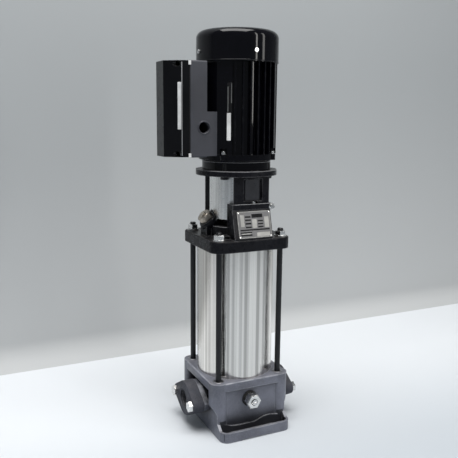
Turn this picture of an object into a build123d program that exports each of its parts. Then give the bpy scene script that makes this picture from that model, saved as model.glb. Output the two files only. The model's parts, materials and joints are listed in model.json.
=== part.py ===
from build123d import *
from math import cos, radians, sin, sqrt, tan
import os

# Vertical multistage centrifugal pump with a close-coupled motor, in millimetres.
# +Z is up, +X points out of the outlet port, -X out of the inlet port, and -Y is
# the front with the drain plug and nameplate. The origin is on the shaft axis at
# the underside of the foot.

# ---------------------------------------------------------------- driving sizes
# Base casting
foot_width = 134.0
foot_length = 196.0
foot_corner_radius = 14.0
foot_height = 18.0
foot_wall = 4.0
foot_floor = 7.0
foot_relief_depth = 1.5
foot_relief_half_width = 30.0
foot_hole_radius = 6.5
foot_spotface_radius = 9.5
foot_spotface_depth = 0.6
foot_hole_spacing_x = foot_width - 34.0
foot_hole_spacing_y = foot_length - 27.0
rib_thickness = 2.5
rib_gap = 1.0
# Top line of the rib inside the tray: (share of the half width, height above the tray floor)
rib_line = ((-1.0, 22.0), (-0.86, 17.0), (-0.62, 12.0), (-0.38, 10.5), (0.08, 11.0), (0.22, 13.5),
            (0.38, 17.5), (0.55, 18.5), (0.8, 16.0), (1.0, 12.5))
base_top = 98.0
base_floor = 22.0
rim_thickness = 15.0
wall_half_depth = 71.5
skirt_thickness = 5.0
skirt_height = 46.0
skirt_top_half = 51.0
column_radius = 17.0
column_draft = 14.0
square_side = 149.0
square_corner_radius = 20.0
staybolt_spacing = 117.0
staybolt_radius = 5.0
staybolt_thread_depth = 30.0
annulus_radius = 62.0
suction_tube_radius = 35.0
suction_chamber_radius = 30.0
suction_tube_top = 88.0

# Ports and their oval flanges
port_height = 50.4
port_bore_radius = 14.5
port_thread_radius = 15.15
port_face_distance = 160.0
port_boss_radius = 30.0
port_boss_lobe_radius = 11.0
port_pad_thickness = 9.0
port_neck_radius = 25.0
port_bolt_boss_radius = 8.5
port_bolt_spacing = 75.0
port_pipe_radius = 19.5
flange_thickness = 21.0
flange_radius = 31.0
flange_lobe_radius = 12.0
flange_edge_radius = 2.5
flange_bolt_radius = 5.0
flange_bolt_grip = 13.0
gasket_inner_radius = 17.0
gasket_outer_radius = 22.0
gasket_thickness = 2.0

# Drain plug and its bypass spindle
drain_x = -4.0
drain_height = 63.0
drain_thread_radius = 10.2
drain_collar_radius = 11.0
drain_collar_length = 8.0
drain_hex_width = 24.0
drain_hex_length = 12.0
spindle_radius = 3.2
spindle_clearance = 0.1

# Outer sleeve and the parts that clamp it
sleeve_outer_radius = 68.2
sleeve_wall = 1.8
sleeve_base_seat = 8.0
sleeve_head_seat = 6.0
sleeve_side_clearance = 0.2
seal_ring_section = 1.4
seal_inset = 3.0
head_bottom = 328.0
head_thickness = 20.0
nut_width = 17.0
nut_height = 8.0
washer_radius = 10.5
washer_thickness = 2.0
staybolt_end = 4.0

# Stages
stage_count = 11
stage_pitch = 18.0
stack_bottom = 104.0
chamber_outer_radius = 59.0
chamber_wall = 2.0
chamber_plate = 1.5
guide_vane_count = 6
guide_vane_height = 5.0
guide_vane_inner_radius = 24.0
neck_ring_outer_radius = 18.0
neck_ring_clearance = 0.4
impeller_radius = 46.0
impeller_eye_radius = 13.0
impeller_skirt_radius = 15.0
impeller_vane_count = 6
impeller_vane_height = 5.0
impeller_shroud = 1.2
impeller_hub_radius = 8.5
strap_width = 9.0
strap_thickness = 1.5
window_count = 6
window_width = 22.0
window_height = 11.0

# Shaft, seal and coupling
pump_shaft_radius = 6.0
seal_shaft_radius = 8.0
pump_shaft_top = 402.0
shaft_nut_height = 8.0
collar_radius = 54.0
collar_top = 366.0
seal_bore_radius = 20.0
seal_cover_radius = 27.0
seal_cover_thickness = 10.0
seal_seat_radius = 15.0
seal_seat_height = 6.0
seal_rotor_height = 6.0
seal_gap = 0.3
bellows_height = 11.0
shaft_clearance = 1.0
bush_clearance = 0.1
coupling_radius = 25.0
coupling_bottom = 374.0
coupling_length = 70.0
coupling_split = 1.6
coupling_screw_radius = 3.0
coupling_screw_offset = 16.5
coupling_screw_inset = 12.0
coupling_pin_radius = 2.5
shaft_pin_inset = 15.0
shaft_pin_half = 15.0
shaft_end_gap = 8.0

# Motor stool on top of the head
stool_height = 105.2
stool_flange_radius = 71.1
stool_flange_thickness = 9.5
pillar_half_width = 33.8
pillar_face = 60.0
pillar_depth = 19.0
pillar_taper = 9.0
panel_left = -13.0
panel_right = 20.5
panel_depth = 4.0
panel_bottom = 412.0
plinth_half_width = 36.0
plinth_foot_face = 73.5
plinth_slope_top = 397.0
plinth_top = 407.0
plinth_ledge = 2.5
guard_radius = 45.5
guard_boss_gap = 1.5
guard_thickness = 1.0
guard_bottom = 378.0
guard_clearance = 0.4
lug_screw_radius = 2.4
lug_screw_seat_radius = 5.5
arch_x = 6.5
arch_radius = 6.5
arch_depth = 4.5
cap_screw_radius = 4.0
cap_screw_height = 3.5
nameplate_width = 63.0
nameplate_thickness = 0.8
nameplate_offset = 3.0
boss_radius = 16.0
boss_start_x = -44.0
boss_angle = 45.0
boss_length = 17.0
plug_hex_width = 22.0
plug_hex_height = 6.0
plug_cap_radius = 12.0
plug_cap_height = 4.5
plug_thread_radius = 8.0
plug_thread_length = 9.0
vent_radius = 3.5

# Motor, whose radii follow that of the fan cover
cover_outer_radius = 70.45
spigot_radius = 47.5
spigot_height = 3.5
neck_radius = 60.0
neck_height = 15.3
shield_thickness = 12.0
shield_radius = cover_outer_radius - 4.45
motor_bolt_circle = 115.0
motor_bolt_radius = 4.0
motor_bolt_head_width = 13.0
motor_bolt_head_height = 5.3
lug_circle_radius = cover_outer_radius - 5.95
lug_radius = 6.0
housing_height = 151.0
housing_inner_radius = cover_outer_radius - 15.45
housing_outer_radius = cover_outer_radius - 10.45
fin_tip_radius = cover_outer_radius - 1.95
fin_thickness = 2.2
fin_pitch_angle = 11.25
wide_rib_thickness = 9.0
wide_rib_half_angle = 9.0
pad_radius = cover_outer_radius - 4.45
pad_half_angle = 58.0
screw_notch_height = 10.0
core_height = 75.0
core_bottom_gap = 35.0
rotor_radius = housing_inner_radius - 20.8
air_gap = 0.4
winding_height = 18.0
motor_shaft_radius = 9.5
bearing_bore_radius = 10.0
bearing_outer_radius = 23.5
bearing_width = 14.0
ball_radius = 3.97
ball_circle_radius = 16.75
ball_count = 7
ball_clearance = 0.12
race_gap = 2.35
cage_height = 10.0
cage_clearance = 0.2
shield_plate = 6.0
cover_gap = 0.6
cover_wall = 1.4
cover_height = 52.4
cover_edge_radius = 13.0
cover_screw_rise = 17.0
cover_screw_radius = 2.0
grille_ring_count = 3
grille_spoke_count = 6
fan_radius = cover_outer_radius - 12.45
fan_blade_count = 7
fan_blade_height = 18.0
fan_hub_radius = 15.0
fan_rise = 9.0

# Terminal box on the inlet side of the motor
box_half_depth = 38.0
box_bottom = 485.5
box_height = 155.0
box_depth = 29.0
box_inner_x = -cover_outer_radius - 1.55
box_seam_x = box_inner_x - box_depth
box_wall = 3.0
box_corner_radius = 3.0
box_neck_top = box_bottom + 74.5
box_neck_reach = 22.0
lid_gasket_thickness = 1.5
lid_skirt_end_x = box_seam_x - 13.4
lid_face_x = lid_skirt_end_x - 25.4
lid_face_half_depth = 17.6
lid_end_inset = 1.0
lid_screw_radius = 3.4
entry_x = box_inner_x - 5.0
entry_height = 534.0
entry_radius = 9.2
entry_boss_radius = 13.0
entry_length = 8.0
terminal_depth = 12.0
terminal_share = 0.49
stud_radius = 2.5
stud_length = 6.0
capacitor_radius = 12.0
capacitor_share = 0.27

# ------------------------------------------------------------- derived positions
staybolt_half = staybolt_spacing / 2
corner_signs = [(sx, sy) for sx in (-1, 1) for sy in (-1, 1)]
rib_outer_y = wall_half_depth + rib_gap + rib_thickness
tray_outer_y = foot_length / 2 - foot_wall
port_face_x = port_face_distance / 2
flange_face_x = port_face_x + flange_thickness
head_top = head_bottom + head_thickness
sleeve_inner_radius = sleeve_outer_radius - sleeve_wall
sleeve_bottom = base_top - sleeve_base_seat
sleeve_top = head_bottom + sleeve_head_seat
stack_top = stack_bottom + stage_count * stage_pitch
hub_overlap = 1.0
shoulder_height = stack_top - hub_overlap
seal_cover_bottom = collar_top - seal_cover_thickness
seal_seat_bottom = seal_cover_bottom - seal_seat_height
ledge_face = pillar_face + plinth_ledge
stool_flange_top = head_top + stool_height + stool_flange_thickness
stool_flange_bottom = stool_flange_top - stool_flange_thickness
coupling_top = coupling_bottom + coupling_length
motor_shaft_bottom = pump_shaft_top + shaft_end_gap
guard_top = stool_flange_bottom - guard_clearance
shield_bottom = stool_flange_top + neck_height
housing_bottom = shield_bottom + shield_thickness
housing_top = housing_bottom + housing_height
core_bottom = housing_bottom + core_bottom_gap
core_top = core_bottom + core_height
lower_bearing_bottom = shield_bottom - 1.0
upper_bearing_bottom = housing_top - bearing_width + 4.0
cover_bottom = housing_top + cover_gap
cover_top = cover_bottom + cover_height
fan_bottom = housing_top + fan_rise
box_top = box_bottom + box_height
lid_back_x = box_seam_x - lid_gasket_thickness
screw_angles = (45, 135, 225, 315)
cover_screw_angles = (0, 90, 180, 270)

nodes = {}


# ------------------------------------------------------------------ shape helpers
def rod(radius, z_low, z_high):
    """Upright cylinder between two heights."""
    upright = (Align.CENTER, Align.CENTER, Align.MIN)
    return Pos(0, 0, z_low) * Cylinder(radius, z_high - z_low, align=upright)


def ring(outer_radius, inner_radius, z_low, z_high):
    """Upright tube between two heights."""
    return rod(outer_radius, z_low, z_high) - rod(inner_radius, z_low, z_high)


def turned(*points):
    """Solid turned about Z from (radius, height) points."""
    return revolve(Plane.XZ * Polygon(*points, align=None), axis=Axis.Z)


def block(x_low, x_high, y_low, y_high, z_low, z_high):
    """Box between two values on each axis."""
    corner = (Align.MIN, Align.MIN, Align.MIN)
    size = Box(x_high - x_low, y_high - y_low, z_high - z_low, align=corner)
    return Pos(x_low, y_low, z_low) * size


def slab(outline, z_low, z_high):
    """A flat outline raised between two heights."""
    return Pos(0, 0, z_low) * extrude(outline, z_high - z_low, dir=(0, 0, 1))


def side_slab(points, x_low, x_high):
    """An outline of (y, z) points raised between two values of X."""
    outline = Plane.YZ * Polygon(*points, align=None)
    return Pos(x_low, 0, 0) * extrude(outline, x_high - x_low, dir=(1, 0, 0))


def front_slab(points, y_low, y_high):
    """An outline of (x, z) points raised between two values of Y."""
    outline = Plane.XZ * Polygon(*points, align=None)
    return Pos(0, y_low, 0) * extrude(outline, y_high - y_low, dir=(0, 1, 0))


def hexagon(across_flats, z_low, z_high):
    """Upright hexagonal prism."""
    return slab(RegularPolygon(across_flats / sqrt(3), 6), z_low, z_high)


def polar(angle, radius=0.0, height=0.0):
    """A place at an angle about Z, at a radius and a height."""
    return Rot(0, 0, angle) * Pos(radius, 0, height)


def along_x(x_sign):
    """Turns +Z into +X or -X."""
    return Rot(0, 90 * x_sign, 0)


def along_y(y_sign):
    """Turns +Z into +Y or -Y."""
    return Rot(-90 * y_sign, 0, 0)


def group(*shapes):
    """Separate solids kept together in one node."""
    return Compound([solid for shape in shapes for solid in shape.solids()])


def at_corners(shape):
    """The shape repeated at the four staybolts."""
    return group(*[Pos(sx * staybolt_half, sy * staybolt_half, 0) * shape for sx, sy in corner_signs])


def rounded_square(side=square_side):
    return RectangleRounded(side, side, square_corner_radius)


def oval(middle_radius, lobe_radius):
    """Oval flange outline: a round middle hulled with a lobe at each bolt, long side on Y."""
    circles = Circle(middle_radius)
    for sign in (-1, 1):
        circles += Pos(0, sign * port_bolt_spacing / 2) * Circle(lobe_radius)
    return make_hull(circles.edges())


def at_port(x_sign, shape):
    """Stands a shape drawn on +Z at a port, its +Z along the port's outward direction."""
    return Pos(0, 0, port_height) * along_x(x_sign) * shape


# -------------------------------------------------------------------- base casting
def foot_casting():
    """Foot plate with a tray and an inner rib at each end, and pads at its corners."""
    foot = slab(RectangleRounded(foot_width, foot_length, foot_corner_radius), 0, foot_height)
    tray_half = foot_width / 2 - foot_wall
    tray = slab(RectangleRounded(2 * tray_half, 2 * tray_outer_y, foot_corner_radius - foot_wall),
                foot_floor, foot_height)
    foot -= tray
    for sign in (-1, 1):
        crest = [(share * tray_half, foot_floor + rise) for share, rise in rib_line]
        profile = [(tray_half, 0), (-tray_half, 0)] + crest
        rib = front_slab(profile, -rib_outer_y, rib_thickness - rib_outer_y)
        foot += Rot(0, 0, 90 + 90 * sign) * rib
    foot -= block(-foot_relief_half_width, foot_relief_half_width,
                  -foot_length, foot_length, 0, foot_relief_depth)
    return foot


def side_skirts():
    """Plates that run down from the ports to the front and back corners of the foot."""
    end_y = foot_length / 2 - foot_corner_radius
    profile = [(-end_y, 0), (-end_y, foot_height), (-end_y + 2, foot_height + 1),
               (-skirt_top_half, skirt_height), (skirt_top_half, skirt_height),
               (end_y - 2, foot_height + 1), (end_y, foot_height), (end_y, 0)]
    outer_x = foot_width / 2
    return [side_slab(profile, outer_x - skirt_thickness, outer_x),
            side_slab(profile, -outer_x, skirt_thickness - outer_x)]


def corner_columns():
    """Columns that take the staybolts, cut back below to the width of the foot."""
    columns = at_corners(rod(column_radius, 0, base_top))
    outer_x = foot_width / 2
    far_x = square_side
    draft_top = skirt_height + column_draft
    draft = [(outer_x, 0), (outer_x, skirt_height - 3), (square_side / 2 + 2, draft_top),
             (far_x, draft_top), (far_x, 0)]
    wedge = front_slab(draft, -foot_length, foot_length)
    for column in columns.solids():
        yield column - wedge - Rot(0, 0, 180) * wedge


def make_pump_base():
    body = foot_casting()
    body += block(-staybolt_half, staybolt_half, -wall_half_depth, wall_half_depth, 0, base_top)
    body += rod(annulus_radius + 4, foot_relief_depth, base_top)
    for piece in side_skirts() + list(corner_columns()):
        body += piece
    rim = slab(rounded_square(), base_top - rim_thickness, base_top)
    rim = chamfer(rim.edges().group_by(Axis.Z)[-1], 1.5)
    body += rim
    boss_start = foot_width / 2 - skirt_thickness - 6
    for sign in (-1, 1):
        pad_start = port_face_x - port_pad_thickness
        body += at_port(sign, slab(oval(port_boss_radius, port_boss_lobe_radius), pad_start, port_face_x))
        body += at_port(sign, rod(port_neck_radius, boss_start, pad_start))
        for side in (-1, 1):
            bolt_boss = Pos(0, side * port_bolt_spacing / 2, 0) * rod(port_bolt_boss_radius, boss_start, pad_start)
            body += at_port(sign, bolt_boss)
    body -= rod(annulus_radius, base_floor, base_top)
    tube = ring(suction_tube_radius, suction_chamber_radius, base_floor - 1, suction_tube_top)
    body += tube
    crossing = slab(Circle(port_pipe_radius), suction_chamber_radius + 2, annulus_radius + 1)
    body += at_port(-1, crossing)
    body -= at_port(-1, slab(Circle(port_bore_radius), suction_chamber_radius - 4, port_face_x))
    body -= at_port(1, slab(Circle(port_bore_radius), annulus_radius - 6, port_face_x))
    groove_inner = sleeve_inner_radius - sleeve_side_clearance
    body -= ring(sleeve_outer_radius + sleeve_side_clearance, groove_inner, sleeve_bottom, base_top)
    body -= seal_groove(sleeve_bottom + seal_inset)
    body -= at_corners(rod(staybolt_radius, base_top - staybolt_thread_depth, base_top))
    for sx, sy in corner_signs:
        hole = rod(foot_hole_radius, 0, foot_floor)
        hole += rod(foot_spotface_radius, foot_floor - foot_spotface_depth, foot_floor + 1)
        body -= Pos(sx * foot_hole_spacing_x / 2, sy * foot_hole_spacing_y / 2, 0) * hole
        bolt_y = sy * port_bolt_spacing / 2
        tapped = Pos(0, bolt_y, 0) * rod(flange_bolt_radius, port_face_x - flange_bolt_grip, port_face_x)
        body -= at_port(sx, tapped)
    drain = along_y(-1) * rod(drain_thread_radius, annulus_radius - 8, wall_half_depth + 5)
    body -= Pos(drain_x, 0, drain_height) * drain
    return body


def make_port_flange(x_sign):
    """Oval counter-flange with a threaded pipe port."""
    flange = slab(oval(flange_radius, flange_lobe_radius), port_face_x, flange_face_x)
    flange = fillet(flange.edges().group_by(Axis.Z)[-1], flange_edge_radius)
    flange -= rod(port_thread_radius, port_face_x, flange_face_x)
    flange -= rod(gasket_outer_radius + 0.3, port_face_x, port_face_x + gasket_thickness)
    for sign in (-1, 1):
        hole = rod(flange_bolt_radius + 0.5, port_face_x, flange_face_x)
        flange -= Pos(0, sign * port_bolt_spacing / 2, 0) * hole
    return at_port(x_sign, flange)


def make_port_gaskets():
    gasket = ring(gasket_outer_radius, gasket_inner_radius, port_face_x, port_face_x + gasket_thickness)
    return group(at_port(-1, gasket), at_port(1, gasket))


def hex_bolt(radius, head_width, head_height, head_z, length):
    """Hexagon bolt whose head sits on head_z and whose shank reaches down from it."""
    head = hexagon(head_width, head_z, head_z + head_height)
    head = chamfer(head.edges().group_by(Axis.Z)[-1], 0.8)
    return head + rod(radius, head_z - length, head_z)


def make_port_flange_bolts():
    length = flange_thickness + flange_bolt_grip - 1
    bolt = hex_bolt(flange_bolt_radius, nut_width, 6.4, flange_face_x, length)
    bolts = []
    for x_sign, y_sign in corner_signs:
        bolts.append(at_port(x_sign, Pos(0, y_sign * port_bolt_spacing / 2, 0) * bolt))
    return group(*bolts)


# ------------------------------------------------------- drain plug and bypass spindle
def at_drain(shape):
    """Stands a shape drawn on +Z at the drain port, its +Z pointing out of the front wall."""
    return Pos(drain_x, 0, drain_height) * along_y(-1) * shape


drain_hex_start = wall_half_depth + drain_collar_length
drain_face = drain_hex_start + drain_hex_length
spindle_hole_start = annulus_radius - 2


def make_drain_plug():
    plug = rod(drain_thread_radius, spindle_hole_start, wall_half_depth)
    plug += rod(drain_collar_radius, wall_half_depth, drain_hex_start)
    hexagon_head = hexagon(drain_hex_width, drain_hex_start, drain_face)
    plug += chamfer(hexagon_head.edges().group_by(Axis.Z)[-1], 1.5)
    plug -= rod(spindle_radius + spindle_clearance, spindle_hole_start, drain_face)
    plug -= rod(spindle_radius + 3.2, drain_face - 5, drain_face)
    return at_drain(plug)


def make_bypass_spindle():
    """Slotted spindle that opens the passage through the drain plug."""
    head_top = drain_face + 1.5
    spindle = rod(spindle_radius, spindle_hole_start + 1, drain_face - 4)
    spindle += rod(spindle_radius + 1.8, drain_face - 4, head_top)
    spindle -= block(-10, 10, -0.7, 0.7, head_top - 1.5, head_top)
    spindle -= ring(spindle_radius, spindle_radius - 1, wall_half_depth, wall_half_depth + 2.4)
    return at_drain(spindle)


def make_bypass_seal():
    start = wall_half_depth + 0.2
    return at_drain(ring(spindle_radius, spindle_radius - 0.9, start, start + 2))


# -------------------------------------------------------------- sleeve and staybolts
def make_outer_sleeve():
    return ring(sleeve_outer_radius, sleeve_inner_radius, sleeve_bottom, sleeve_top)


def seal_groove(z):
    """Groove that holds a sleeve seal at the given height."""
    outer = sleeve_inner_radius - sleeve_side_clearance
    half = seal_ring_section + 0.2
    return ring(outer, sleeve_inner_radius - 2 * half, z - half, z + half)


def make_body_seals():
    """Seal rings of the sleeve, and the ring under the drain plug."""
    major = sleeve_inner_radius - seal_ring_section - 0.1
    heights = (sleeve_bottom + seal_inset, sleeve_top - seal_inset)
    rings = [Pos(0, 0, z) * Torus(major, seal_ring_section) for z in heights]
    groove = drain_collar_radius + 0.1
    rings.append(at_drain(ring(groove + 3, groove, wall_half_depth, wall_half_depth + 3)))
    return group(*rings)


def make_staybolts():
    nut_top = head_top + washer_thickness + nut_height
    bottom = base_top - staybolt_thread_depth + 1
    bolt = rod(staybolt_radius, bottom, nut_top + staybolt_end)
    bolt = chamfer(bolt.edges().group_by(Axis.Z)[-1], 1.0)
    return at_corners(bolt)


def make_staybolt_washers():
    return at_corners(ring(washer_radius, staybolt_radius, head_top, head_top + washer_thickness))


def make_staybolt_nuts():
    low = head_top + washer_thickness
    nut = hexagon(nut_width, low, low + nut_height)
    nut = chamfer(nut.edges().group_by(Axis.Z)[-1], 0.8)
    return at_corners(nut - rod(staybolt_radius, low, low + nut_height))


# ------------------------------------------------------------------- pump hydraulics
def make_inlet_part():
    """Dish that carries the stage stack on the suction tube."""
    outer = chamber_outer_radius
    inner = outer - 3
    plate_bottom = stack_bottom - chamber_plate
    return turned((suction_chamber_radius, suction_tube_top), (suction_tube_radius, suction_tube_top),
                  (outer, stack_bottom - 6), (outer, stack_bottom), (neck_ring_outer_radius, stack_bottom),
                  (neck_ring_outer_radius, plate_bottom), (inner, plate_bottom),
                  (inner, stack_bottom - 4.5))


def chamber(z):
    """Cup of one stage with its return guide vanes; z is the underside of its wall."""
    outer = chamber_outer_radius
    inner = outer - chamber_wall
    top = z + stage_pitch
    plate = top - chamber_plate
    cup = turned((inner, z), (outer, z), (outer, top), (neck_ring_outer_radius, top),
                 (neck_ring_outer_radius, plate), (inner, plate))
    length = inner - guide_vane_inner_radius + 0.5
    vane = block(0, length, -0.6, 0.6, plate - guide_vane_height, plate)
    for i in range(guide_vane_count):
        place = polar(360 / guide_vane_count * i, guide_vane_inner_radius) * Rot(0, 0, 25)
        cup += place * vane
    return cup & rod(outer, z, top)


def stage_heights():
    return [stack_bottom + i * stage_pitch for i in range(stage_count)]


def make_stage_chambers():
    first = chamber(stack_bottom)
    return group(*[Pos(0, 0, z - stack_bottom) * first for z in stage_heights()])


def make_neck_rings():
    inner = impeller_skirt_radius + neck_ring_clearance
    rings = [ring(neck_ring_outer_radius, inner, z - chamber_plate, z + 1) for z in stage_heights()]
    return group(*rings)


def impeller(z):
    """Closed impeller with its eye below; z is the top of the plate under it."""
    shroud_bottom = z + 2
    vane_bottom = shroud_bottom + impeller_shroud
    vane_top = vane_bottom + impeller_vane_height
    wheel = ring(impeller_skirt_radius, impeller_eye_radius, z - chamber_plate, shroud_bottom)
    wheel += ring(impeller_radius, impeller_eye_radius, shroud_bottom, vane_bottom)
    wheel += rod(impeller_radius, vane_top, vane_top + impeller_shroud)
    wheel += rod(impeller_hub_radius, z - hub_overlap, z - hub_overlap + stage_pitch)
    for i in range(impeller_vane_count):
        sweep_radius = impeller_radius * 0.62
        vane = ring(sweep_radius, sweep_radius - 1.4, vane_bottom, vane_top)
        vane &= block(0, impeller_radius, -impeller_radius, 0, vane_bottom, vane_top)
        wheel += polar(360 / impeller_vane_count * i) * Pos(-2, sweep_radius - 7, 0) * vane
    wheel &= rod(impeller_radius, z - chamber_plate, z + stage_pitch)
    return wheel - rod(pump_shaft_radius, z - stage_pitch, z + stage_pitch)


def make_impellers():
    first = impeller(stack_bottom)
    return group(*[Pos(0, 0, z - stack_bottom) * first for z in stage_heights()])


def make_chamber_straps():
    """Straps that pull the stages together between the inlet part and the top chamber."""
    low = stack_bottom - 5
    high = stack_top + 5
    outer = chamber_outer_radius + strap_thickness
    band = ring(outer, chamber_outer_radius, low, high)
    straps = []
    for angle in (90, 270):
        slice_ = block(0, outer + 1, -strap_width / 2, strap_width / 2, low, high)
        straps.append(polar(angle) * (band & slice_))
    return group(*straps)


def make_top_chamber():
    """Last chamber, with windows that let the water turn back down inside the sleeve."""
    outer = chamber_outer_radius
    inner = outer - chamber_wall
    shell = ring(outer, inner, stack_top, head_bottom)
    shell += ring(outer, seal_bore_radius - 3, head_bottom - 3, head_bottom)
    low = stack_top + 7
    window = block(0, outer + 1, -window_width / 2, window_width / 2, low, low + window_height)
    for i in range(window_count):
        shell -= polar(360 / window_count * (i + 0.5)) * window
    return shell


def make_top_bush():
    """Plain bearing in the top chamber."""
    outer = seal_bore_radius - 3
    return ring(outer, seal_shaft_radius + bush_clearance, head_bottom - 3, head_bottom)


# ------------------------------------------------------------------ shaft and seal
def make_pump_shaft():
    bottom = stack_bottom - hub_overlap - shaft_nut_height - 3
    shaft = rod(pump_shaft_radius, bottom, shoulder_height)
    shaft += rod(seal_shaft_radius, shoulder_height, pump_shaft_top)
    return shaft - shaft_pin_rod()


def make_shaft_nut():
    low = stack_bottom - hub_overlap - shaft_nut_height
    return hexagon(20, low, low + shaft_nut_height) - rod(pump_shaft_radius, low, low + shaft_nut_height)


def shaft_pin_rod():
    """Pin that carries the pump shaft in the coupling."""
    place = Pos(0, 0, pump_shaft_top - shaft_pin_inset) * along_y(1)
    return place * rod(coupling_pin_radius, -shaft_pin_half, shaft_pin_half)


def make_seal_cover():
    return ring(seal_cover_radius, seal_shaft_radius + shaft_clearance, seal_cover_bottom, collar_top)


def make_seal_seat():
    return ring(seal_seat_radius, seal_shaft_radius + shaft_clearance, seal_seat_bottom, seal_cover_bottom)


def make_seal_rotor():
    top = seal_seat_bottom - seal_gap
    return ring(seal_seat_radius - 1, seal_shaft_radius, top - seal_rotor_height, top)


def make_seal_bellows():
    """Rubber bellows that presses the rotating seal face up."""
    top = seal_seat_bottom - seal_gap - seal_rotor_height
    outer = seal_seat_radius - 1
    folds = 3
    fold = bellows_height / folds
    outline = [(seal_shaft_radius, top), (seal_shaft_radius, top - bellows_height)]
    for i in range(folds):
        z = top - bellows_height + i * fold
        outline += [(outer - 2.5, z), (outer, z + fold / 2)]
    outline.append((outer - 2.5, top))
    return turned(*outline)


def make_coupling_halves():
    """Clamp coupling split along the shaft, over both shaft ends."""
    body = rod(coupling_radius, coupling_bottom, coupling_top)
    body = chamfer(body.edges(), 2)
    body -= rod(seal_shaft_radius, coupling_bottom, pump_shaft_top + shaft_end_gap / 2)
    body -= rod(motor_shaft_radius, pump_shaft_top + shaft_end_gap / 2, coupling_top)
    body -= shaft_pin_rod()
    body -= block(-coupling_radius, coupling_radius, -coupling_split / 2, coupling_split / 2,
                  coupling_bottom, coupling_top)
    for x, z in coupling_screw_places():
        hole = rod(coupling_screw_radius, -coupling_radius, coupling_radius)
        hole += rod(coupling_screw_radius * 1.9, 12, coupling_radius)
        body -= Pos(x, 0, z) * along_y(-1) * hole
    return group(body)


def coupling_screw_places():
    heights = (coupling_bottom + coupling_screw_inset, coupling_top - coupling_screw_inset)
    return [(x, z) for x in (-coupling_screw_offset, coupling_screw_offset) for z in heights]


def make_coupling_screws():
    screw = rod(coupling_screw_radius, -14, 12) + rod(coupling_screw_radius * 1.7, 12, 17)
    screw -= hexagon(5, 14, 17)
    return group(*[Pos(x, 0, z) * along_y(-1) * screw for x, z in coupling_screw_places()])


# --------------------------------------------------------------- head and motor stool
boss_rise = sin(radians(boss_angle))
boss_run = cos(radians(boss_angle))
boss_start_z = head_top + 17.0


def on_boss(shape):
    """Stands a shape drawn on +Z on the filling boss, its +Z out along the boss."""
    return Pos(boss_start_x, 0, boss_start_z) * Rot(0, -boss_angle, 0) * shape


def pillar_outline(clearance=0.0):
    """Plan of the front pillar, tapered inwards."""
    back = pillar_face - pillar_depth - clearance
    wide = pillar_half_width + clearance
    narrow = pillar_half_width - pillar_taper + clearance
    return Polygon((-wide, -pillar_face), (wide, -pillar_face), (narrow, -back), (-narrow, -back), align=None)


def pillar():
    """Front pillar of the stool with a sunk panel in its face."""
    body = slab(pillar_outline(), head_top, stool_flange_bottom)
    sunk = -pillar_face + panel_depth
    recess = Polygon((panel_left - 3, -pillar_face - 1), (panel_right + 0.5, -pillar_face - 1),
                     (panel_right, sunk), (panel_left + 3, sunk), align=None)
    body -= slab(recess, panel_bottom, stool_flange_bottom - 4)
    return body


def plinth():
    """Block under the front pillar with a sloping face for the nameplate and a ledge."""
    inner_face = -pillar_face + pillar_depth
    side = [(-plinth_foot_face, head_top), (-plinth_foot_face, head_top + 2),
            (-pillar_face - 0.5, plinth_slope_top), (-ledge_face, plinth_slope_top + 1),
            (-ledge_face, plinth_top), (inner_face, plinth_top), (inner_face, head_top)]
    body = side_slab(side, -plinth_half_width, plinth_half_width)
    body -= rod(guard_radius + guard_thickness + 0.5, guard_bottom - 0.5, plinth_top)
    return body


def lug_place():
    """Place of the screw lug at the right end of the ledge, +Z out of the front face."""
    return Pos(plinth_half_width + 2, 0, plinth_top - 5) * along_y(-1)


def make_pump_head():
    body = slab(rounded_square(), head_bottom, head_top)
    body = fillet(body.edges().group_by(Axis.Z)[-1], 2.5)
    body += rod(collar_radius, head_top, collar_top)
    body += slab(RectangleRounded(2 * pillar_half_width + 26, 2 * pillar_face - 12, 8), head_top, head_top + 5)
    boss = on_boss(rod(boss_radius, -30, boss_length))
    boss += block(boss_start_x - 18, boss_start_x, -boss_radius + 3, boss_radius - 3, head_top, head_top + 16)
    body += boss & block(-square_side / 2, 0, -boss_radius, boss_radius, head_top, stool_flange_bottom)
    body += pillar() + Rot(0, 0, 180) * pillar()
    body += plinth()
    lug = lug_place() * rod(lug_screw_seat_radius, ledge_face - 14, ledge_face)
    body += lug
    body += block(-plinth_half_width, plinth_half_width, pillar_face - pillar_depth, pillar_face + 2,
                  head_top, collar_top + 6)
    flange = rod(stool_flange_radius, stool_flange_bottom, stool_flange_top)
    body += chamfer(flange.edges().group_by(Axis.Z)[-1], 1.0)
    body -= rod(seal_bore_radius, head_bottom, seal_cover_bottom)
    body -= rod(seal_cover_radius, seal_cover_bottom, collar_top)
    body -= rod(coupling_radius + 6, collar_top, stool_flange_bottom)
    body -= rod(spigot_radius, stool_flange_bottom, stool_flange_top)
    groove_inner = sleeve_inner_radius - sleeve_side_clearance
    body -= ring(sleeve_outer_radius + sleeve_side_clearance, groove_inner, head_bottom, sleeve_top)
    body -= seal_groove(sleeve_top - seal_inset)
    body -= at_corners(rod(staybolt_radius + 0.5, head_bottom, head_top))
    body -= on_boss(rod(plug_thread_radius, boss_length - plug_thread_length - 1, boss_length))
    body -= on_boss(rod(4, -34, boss_length))
    for angle in screw_angles:
        hole = rod(motor_bolt_radius + 0.5, stool_flange_bottom, stool_flange_top)
        body -= polar(angle, motor_bolt_circle / 2) * hole
    arch = along_y(-1) * rod(arch_radius, pillar_face - 2 * arch_depth, pillar_face + 5)
    arch &= block(-arch_radius, arch_radius, -pillar_face - 5, 0, 0, arch_radius)
    body -= Pos(arch_x, 0, plinth_top) * arch
    hole = lug_place() * rod(lug_screw_radius, ledge_face - 10, ledge_face)
    return body - hole


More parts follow.
